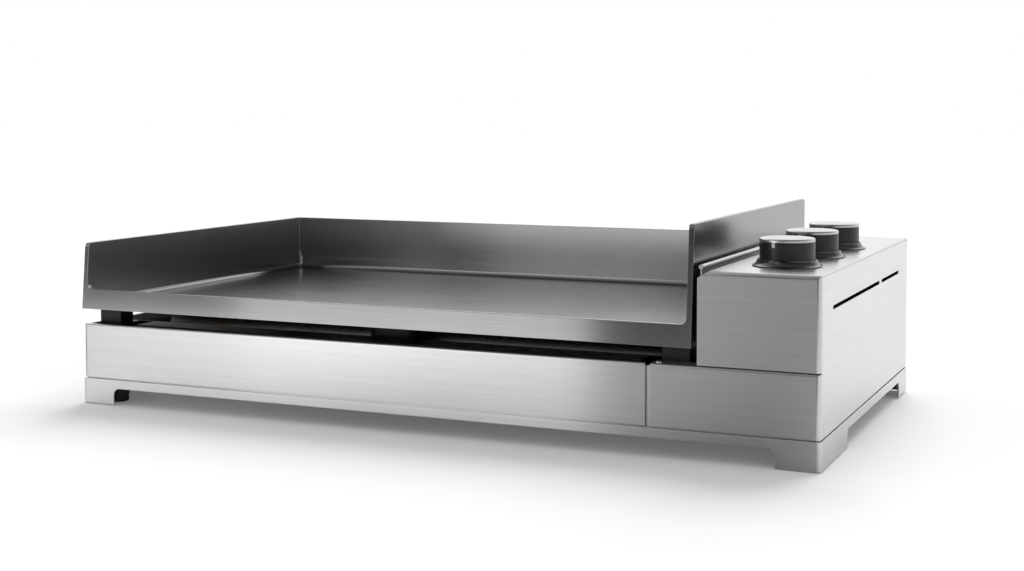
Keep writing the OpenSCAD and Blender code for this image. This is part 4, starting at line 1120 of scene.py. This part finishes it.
@dataclass
class Controls(SubAssembly):
    """Knobs, metal caps, pointers and bezels.

    Attributes:
        sides: how many sides a knob, a cap or a bezel has.
        foot_edge: radius of a knob's lower edge in millimetres.
        groove: width and depth of the groove under a cap, in millimetres.
        bevel: the bevel over that groove and at a bezel's well, in millimetres.
        pointer_ease: how wide a pointer's edges are eased.
        cap_edge: radius of a cap's edge in millimetres.
        cap_bevel: the bevel at a cap's foot in millimetres.
        dish_share: the dished middle's radius in radii of the cap.
        dish: the dish's depth in millimetres.
        dish_lip: how far outwards of the dish its rim starts and how deep it is at the dish's
            own radius, in millimetres.
        dish_floor: how far inwards of that radius the dish's slope ends and its flat middle
            starts, in millimetres.
        dish_sink: how much lower that middle is than the slope's end, in millimetres.
        metal: the cap's darker and lighter tones.
        metal_rough: the cap's lower and upper roughness.
        metal_lines: depth of its turned lines in metres and their number in a metre.
        metal_clouding: how cloudy it is.
        flare_r: radius of a bezel's flare in millimetres.
        flare_foot: thickness of the flare's foot in millimetres.
        rim: width of a bezel's rim in millimetres.
        rim_flat: the rim's outer corner in widths of the rim, from the well.
        rim_drop: how far that corner lies under the bezel's top, in millimetres.
        well_floor: thickness of a bezel's floor in millimetres.
        well_gap: clearance between a knob and its bezel in millimetres.
        hole_r: radius of the stem's hole in millimetres.
    """

    sides: int = 128
    foot_edge: float = 1.2
    groove: tuple[float, float] = (0.7, 0.9)
    bevel: float = 0.3
    pointer_ease: float = 0.3 * MM
    cap_edge: float = 1.8
    cap_bevel: float = 0.4
    dish_share: float = 0.84
    dish: float = 0.35
    dish_lip: tuple[float, float] = (0.6, 0.1)
    dish_floor: tuple[float, float] = (0.8, 1.6)
    dish_sink: float = 0.02
    metal: tuple[Colour, Colour] = ((0.52, 0.52, 0.53), (0.7, 0.7, 0.71))
    metal_rough: tuple[float, float] = (0.26, 0.36)
    metal_lines: tuple[float, float] = (0.000006, 2600.0)
    metal_clouding: float = 0.1
    flare_r: float = 8.0
    flare_foot: float = 1.0
    rim: float = 1.25
    rim_flat: float = 0.8
    rim_drop: float = 0.02
    well_floor: float = 2.0
    well_gap: float = 0.8
    hole_r: float = 10.0

    def build(self) -> None:
        """Builds the controls."""
        for place in KNOB_PLACES:
            self.build_knob(place)
            self.build_cap(place)
            self.ease(f"pointer_{place}", self.pointer_ease)
        self.build_bezels()

    def build_knob(self, place: str) -> None:
        """Turns a knob's black body, with a fine groove under its cap.

        Args:
            place: the knob's place in the row.
        """
        low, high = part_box(f"knob_{place}")
        radius, height = round_size(low, high)
        edge = self.foot_edge
        groove_w, groove_d = self.groove
        profile = [(radius - 2 * edge, 0.0)]
        profile += arc((radius - edge, edge), edge, -90.0, 0.0, steps=6)
        profile += [(radius, height - groove_w - self.bevel),
                    (radius - self.bevel, height - groove_w),
                    (radius - groove_d, height - groove_w), (radius - groove_d, height)]
        knob = Bench.turned(f"knob_{place}_piece", in_metres(profile), sides=self.sides)
        Bench.smooth(knob)
        Bench.stand(knob, foot_middle(low, high))
        self.enter(knob, KNOB_BLACK, f"knob_{place}")

    def build_cap(self, place: str) -> None:
        """Turns a knob's metal cap, with a rounded edge and a shallow dish.

        Args:
            place: the knob's place in the row.
        """
        low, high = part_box(f"knob_cap_{place}")
        foot = foot_middle(low, high)
        radius, height = round_size(low, high)
        edge = self.cap_edge
        dish_r = radius * self.dish_share
        lip_w, lip_h = self.dish_lip
        slope_w, floor_w = self.dish_floor
        profile = [(radius - self.cap_bevel, 0.0), (radius, self.cap_bevel)]
        profile += arc((radius - edge, height - edge), edge, 0.0, 90.0, steps=8)
        profile += [(dish_r + lip_w, height), (dish_r, height - lip_h),
                    (dish_r - slope_w, height - self.dish),
                    (dish_r - floor_w, height - self.dish - self.dish_sink)]
        cap = Bench.turned(f"knob_cap_{place}_piece", in_metres(profile), sides=self.sides)
        Bench.smooth(cap)
        Bench.stand(cap, foot)
        depth, pitch = self.metal_lines
        finish = SpunMetal(f"knob_metal_{place}", *self.metal, rough=self.metal_rough, depth=depth,
                           pitch=pitch, clouding=self.metal_clouding, axis_x=foot.x, axis_y=foot.y)
        self.enter(cap, finish, f"knob_cap_{place}")

    def build_bezels(self) -> None:
        """Turns the flared bezels, each with a well for its knob."""
        well_r = round_size(*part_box("knob_front"))[0] + self.well_gap
        for place, (low, high) in zip(KNOB_PLACES, Bench.solids("knob_bezels")):
            radius, height = round_size(low, high)
            middle = (well_r + self.rim + self.flare_r, height + self.flare_foot)
            foot = math.degrees(math.acos((radius - middle[0]) / self.flare_r))
            top = math.degrees(math.asin(self.flare_foot / self.flare_r))
            profile = [(radius, 0.0)]
            profile += arc(middle, self.flare_r, -foot, -180.0 + top, steps=12)
            profile += [(well_r + self.rim * self.rim_flat, height - self.rim_drop),
                        (well_r + self.bevel, height), (well_r, height - self.bevel),
                        (well_r, self.well_floor)]
            bezel = Bench.turned(f"knob_bezel_{place}", in_metres(profile), sides=self.sides,
                                 bore=self.hole_r * MM)
            Bench.smooth(bezel)
            Bench.stand(bezel, foot_middle(low, high))
            self.enter(bezel, DARK_CHROME, "knob_bezels")


# ---------------------------------------------------------------- studio


@dataclass(frozen=True)
class Viewpoint:
    """Where the camera stands and what it takes in.

    Attributes:
        place: its place in metres.
        left_turn: how far it looks to the left of +Y, in degrees.
        down_tilt: how far it looks down, in degrees.
        lens: its lens in millimetres.
        rise: its vertical shift in widths of the picture.
    """

    place: tuple[float, float, float] = (0.7773, -1.72852, 0.35561)
    left_turn: float = 24.006
    down_tilt: float = 2.5
    lens: float = 53.897
    rise: float = -0.1065

    def build(self) -> None:
        """Sets up the camera."""
        bpy.ops.object.camera_add(location=self.place, rotation=(
            math.radians(90.0 - self.down_tilt), 0.0, math.radians(self.left_turn)))
        camera = bpy.context.active_object
        camera.name = "camera"
        camera.data.lens = self.lens
        camera.data.shift_y = self.rise
        bpy.context.scene.camera = camera


@dataclass(frozen=True)
class Lamp:
    """A soft upright strip light in front, which only metal reflects.

    Attributes:
        name: its name.
        place: its place in metres.
        width: its width in metres.
        height: its height in metres.
        power: its power in watts.
    """

    name: str
    place: tuple[float, float, float]
    width: float
    height: float
    power: float

    def build(self) -> None:
        """Stands the lamp up, facing backwards."""
        bpy.ops.object.light_add(type="AREA", location=self.place, rotation=(math.pi / 2, 0.0, 0.0))
        lamp = bpy.context.active_object
        lamp.name = self.name
        lamp.data.shape = "RECTANGLE"
        lamp.data.size = self.width
        lamp.data.size_y = self.height
        lamp.data.energy = self.power
        lamp.visible_camera = False
        lamp.visible_diffuse = False


@dataclass(frozen=True)
class Canopy:
    """A wide overhead light for plain surfaces, which metal doesn't reflect.

    Attributes:
        name: its name.
        tilt: how far it leans from straight above towards the back, in degrees.
        width: how wide it looks from the object, in degrees.
        strength: its light in watts on a square metre.
    """

    name: str
    tilt: float
    width: float
    strength: float

    def build(self) -> None:
        """Hangs the light."""
        bpy.ops.object.light_add(type="SUN", rotation=(math.radians(-self.tilt), 0.0, 0.0))
        canopy = bpy.context.active_object
        canopy.name = self.name
        canopy.data.angle = math.radians(self.width)
        canopy.data.energy = self.strength
        canopy.visible_glossy = False


@dataclass(frozen=True)
class Sweep:
    """A run of tones that metal reflects, along a turn or across the floor.

    Attributes:
        stops: place and tone of each stop, in order.
    """

    stops: tuple[tuple[float, float], ...]

    def ramp(self, recipe: Recipe, place: Socket, unit: float = 1.0) -> Socket:
        """Builds the sweep.

        Args:
            recipe: the tree that it goes into.
            place: the place along the sweep, in the stops' own unit.
            unit: the tone that counts as 1.

        Returns:
            The tone.
        """
        first, last = self.stops[0][0], self.stops[-1][0]
        ramp = recipe.add("ValToRGB", {0: recipe.ramp(place, 0.0, 1.0, first, last)})
        marks = ramp.color_ramp.elements
        for position, _ in self.stops[1:-1]:
            marks.new((position - first) / (last - first))
        for mark, (_, tone) in zip(marks, self.stops):
            mark.color = (tone / unit, tone / unit, tone / unit, 1.0)
        return ramp.outputs["Color"]


@dataclass
class Studio:
    """Floor, backdrop, lamps and camera.

    The camera and what is seen through an opening in the object see a white backdrop. Metal
    sees it white behind the object and in graded tones elsewhere, and plain surfaces are lit
    by an even fill. A sweep's azimuth is in degrees from straight in front, growing towards
    the left.

    Attributes:
        bands: the rise of each band's direction above the horizon, and its sweep.
        fill: the backdrop's light on the object.
        peak: the brightest tone that a sweep may have.
        floor_w: the floor's width in metres.
        floor_tone: the floor's tone.
        floor_lift: the light that the camera adds to the floor.
        floor_sweep: the floor's tone in metal, from left to right in metres.
        floor_back: from where to where the floor's tone turns into its own behind the object.
        lamps: the strip lights.
        canopy: the overhead light.
        view: the camera.
    """

    bands: tuple[tuple[float, Sweep], ...] = (
        (0.0, Sweep(((-180, 1.0), (-135, 1.0), (-110, 0.5), (-60, 0.3), (-20, 0.18), (-3, 0.03),
                     (45, 0.03), (80, 0.3), (110, 0.5), (135, 1.0), (180, 1.0)))),
        (0.05, Sweep(((-180, 1.0), (-135, 1.0), (-110, 0.5), (-60, 0.42), (-20, 0.16), (-3, 0.03),
                      (45, 0.03), (80, 0.3), (110, 0.5), (135, 1.0), (180, 1.0)))),
        (0.2, Sweep(((-180, 1.0), (-135, 1.0), (-115, 0.68), (-60, 0.7), (-20, 0.28), (-3, 0.03),
                     (45, 0.03), (85, 0.3), (115, 0.68), (135, 1.0), (180, 1.0)))),
        (0.5, Sweep(((-180, 1.8), (-145, 0.5), (-110, 0.2), (-30, 0.08), (14, 0.06), (21, 0.55),
                     (27, 0.95), (33, 0.75), (43, 0.36), (60, 0.45), (85, 0.75), (130, 1.8),
                     (180, 1.8)))),
        (1.0, Sweep(((-180, 0.22), (180, 0.22)))),
    )
    fill: float = 0.5
    peak: float = 4.0
    floor_w: float = 40.0
    floor_tone: float = 0.97
    floor_lift: float = 0.11
    floor_sweep: Sweep = Sweep(((-1.2, 0.6), (-0.75, 0.5), (-0.6, 0.8), (-0.45, 1.0), (-0.25, 0.75),
                                (-0.05, 0.32), (0.15, 0.6), (0.35, 0.37), (0.5, 0.9), (0.6, 1.0),
                                (1.2, 0.8)))
    floor_back: tuple[float, float] = (0.1, 0.4)
    lamps: tuple[Lamp, ...] = (
        Lamp("strip_low", (-0.5, -0.8, 0.06), 1.0, 0.12, 0.6),
        Lamp("strip_middle", (-0.3, -0.8, 0.21), 0.6, 0.18, 0.41),
        Lamp("strip_high", (-0.6, -0.8, 0.45), 0.8, 0.3, 0.64),
    )
    canopy: Canopy = Canopy("canopy", 42.0, 45.0, 1.9)
    view: Viewpoint = Viewpoint()

    def build(self) -> None:
        """Sets up the studio."""
        bpy.context.scene.view_settings.view_transform = "Standard"
        self.build_floor()
        self.build_backdrop()
        for lamp in self.lamps:
            lamp.build()
        self.canopy.build()
        self.view.build()

    def build_floor(self) -> None:
        """Lays the pale floor, which the camera sees white where nothing shades it."""
        bpy.ops.object.select_all(action="DESELECT")
        bpy.ops.mesh.primitive_plane_add(size=self.floor_w)
        floor = bpy.context.active_object
        floor.name = "floor"
        recipe = Recipe.of_material("floor_white")
        place = recipe.add("SeparateXYZ", {0: recipe.add("TexCoord").outputs["Object"]}).outputs
        ahead = self.floor_sweep.ramp(recipe, place["X"])
        behind = recipe.ramp(place["Y"], 0.0, 1.0, *self.floor_back)
        white = (self.floor_tone,) * 3
        rays = recipe.add("LightPath").outputs
        mirrored = recipe.blend(behind, ahead, white)
        recipe.feed("Base Color", recipe.blend(rays["Is Glossy Ray"], white, mirrored))
        recipe.feed("Roughness", 1.0)
        recipe.feed("Specular IOR Level", 0.0)
        lift = recipe.add("Math", {0: rays["Is Camera Ray"], 1: self.floor_lift}, operation="MULTIPLY")
        recipe.feed("Emission Color", (1.0, 1.0, 1.0, 1.0))
        recipe.feed("Emission Strength", lift.outputs[0])
        floor.data.materials.append(recipe.owner)

    def build_backdrop(self) -> None:
        """Makes the world white for the camera and a soft studio for the object."""
        recipe = Recipe.of_world("studio")
        way = recipe.add("SeparateXYZ", {0: recipe.add("TexCoord").outputs["Generated"]}).outputs
        left = recipe.add("Math", {0: way["X"], 1: -1.0}, operation="MULTIPLY").outputs[0]
        ahead = recipe.add("Math", {0: way["Y"], 1: -1.0}, operation="MULTIPLY").outputs[0]
        turn = recipe.add("Math", {0: left, 1: ahead}, operation="ARCTAN2").outputs[0]
        azimuth = recipe.add("Math", {0: turn}, operation="DEGREES").outputs[0]
        rise, sweep = self.bands[0]
        studio = sweep.ramp(recipe, azimuth, self.peak)
        for next_rise, sweep in self.bands[1:]:
            share = recipe.ramp(way["Z"], 0.0, 1.0, rise, next_rise)
            studio = recipe.blend(share, studio, sweep.ramp(recipe, azimuth, self.peak))
            rise = next_rise
        rays = recipe.add("LightPath").outputs
        lit = recipe.blend(rays["Is Glossy Ray"], (self.fill / self.peak,) * 3, studio)
        clear = recipe.add("Math", {0: rays["Is Camera Ray"], 1: rays["Is Transmission Ray"]},
                           operation="MAXIMUM").outputs[0]
        recipe.feed("Color", recipe.blend(clear, lit, (1.0 / self.peak,) * 3))
        recipe.feed("Strength", self.peak)
        recipe.owner.cycles.sampling_method = "NONE"
        bpy.context.scene.world = recipe.owner


def main() -> None:
    """Builds the studio and then the griddle, one sub-assembly after another."""
    logging.basicConfig(level=logging.INFO, format="%(name)s: %(message)s")
    Studio().build()
    for assembly in (Chassis(), CookingPlate(), GreaseDrawer(), GasTrain(), Controls()):
        assembly.build()
        for piece in assembly.made:
            log.info("%s: %s, %d faces", type(assembly).__name__, piece.name, len(piece.data.polygons))


if __name__ == "__main__":
    main()
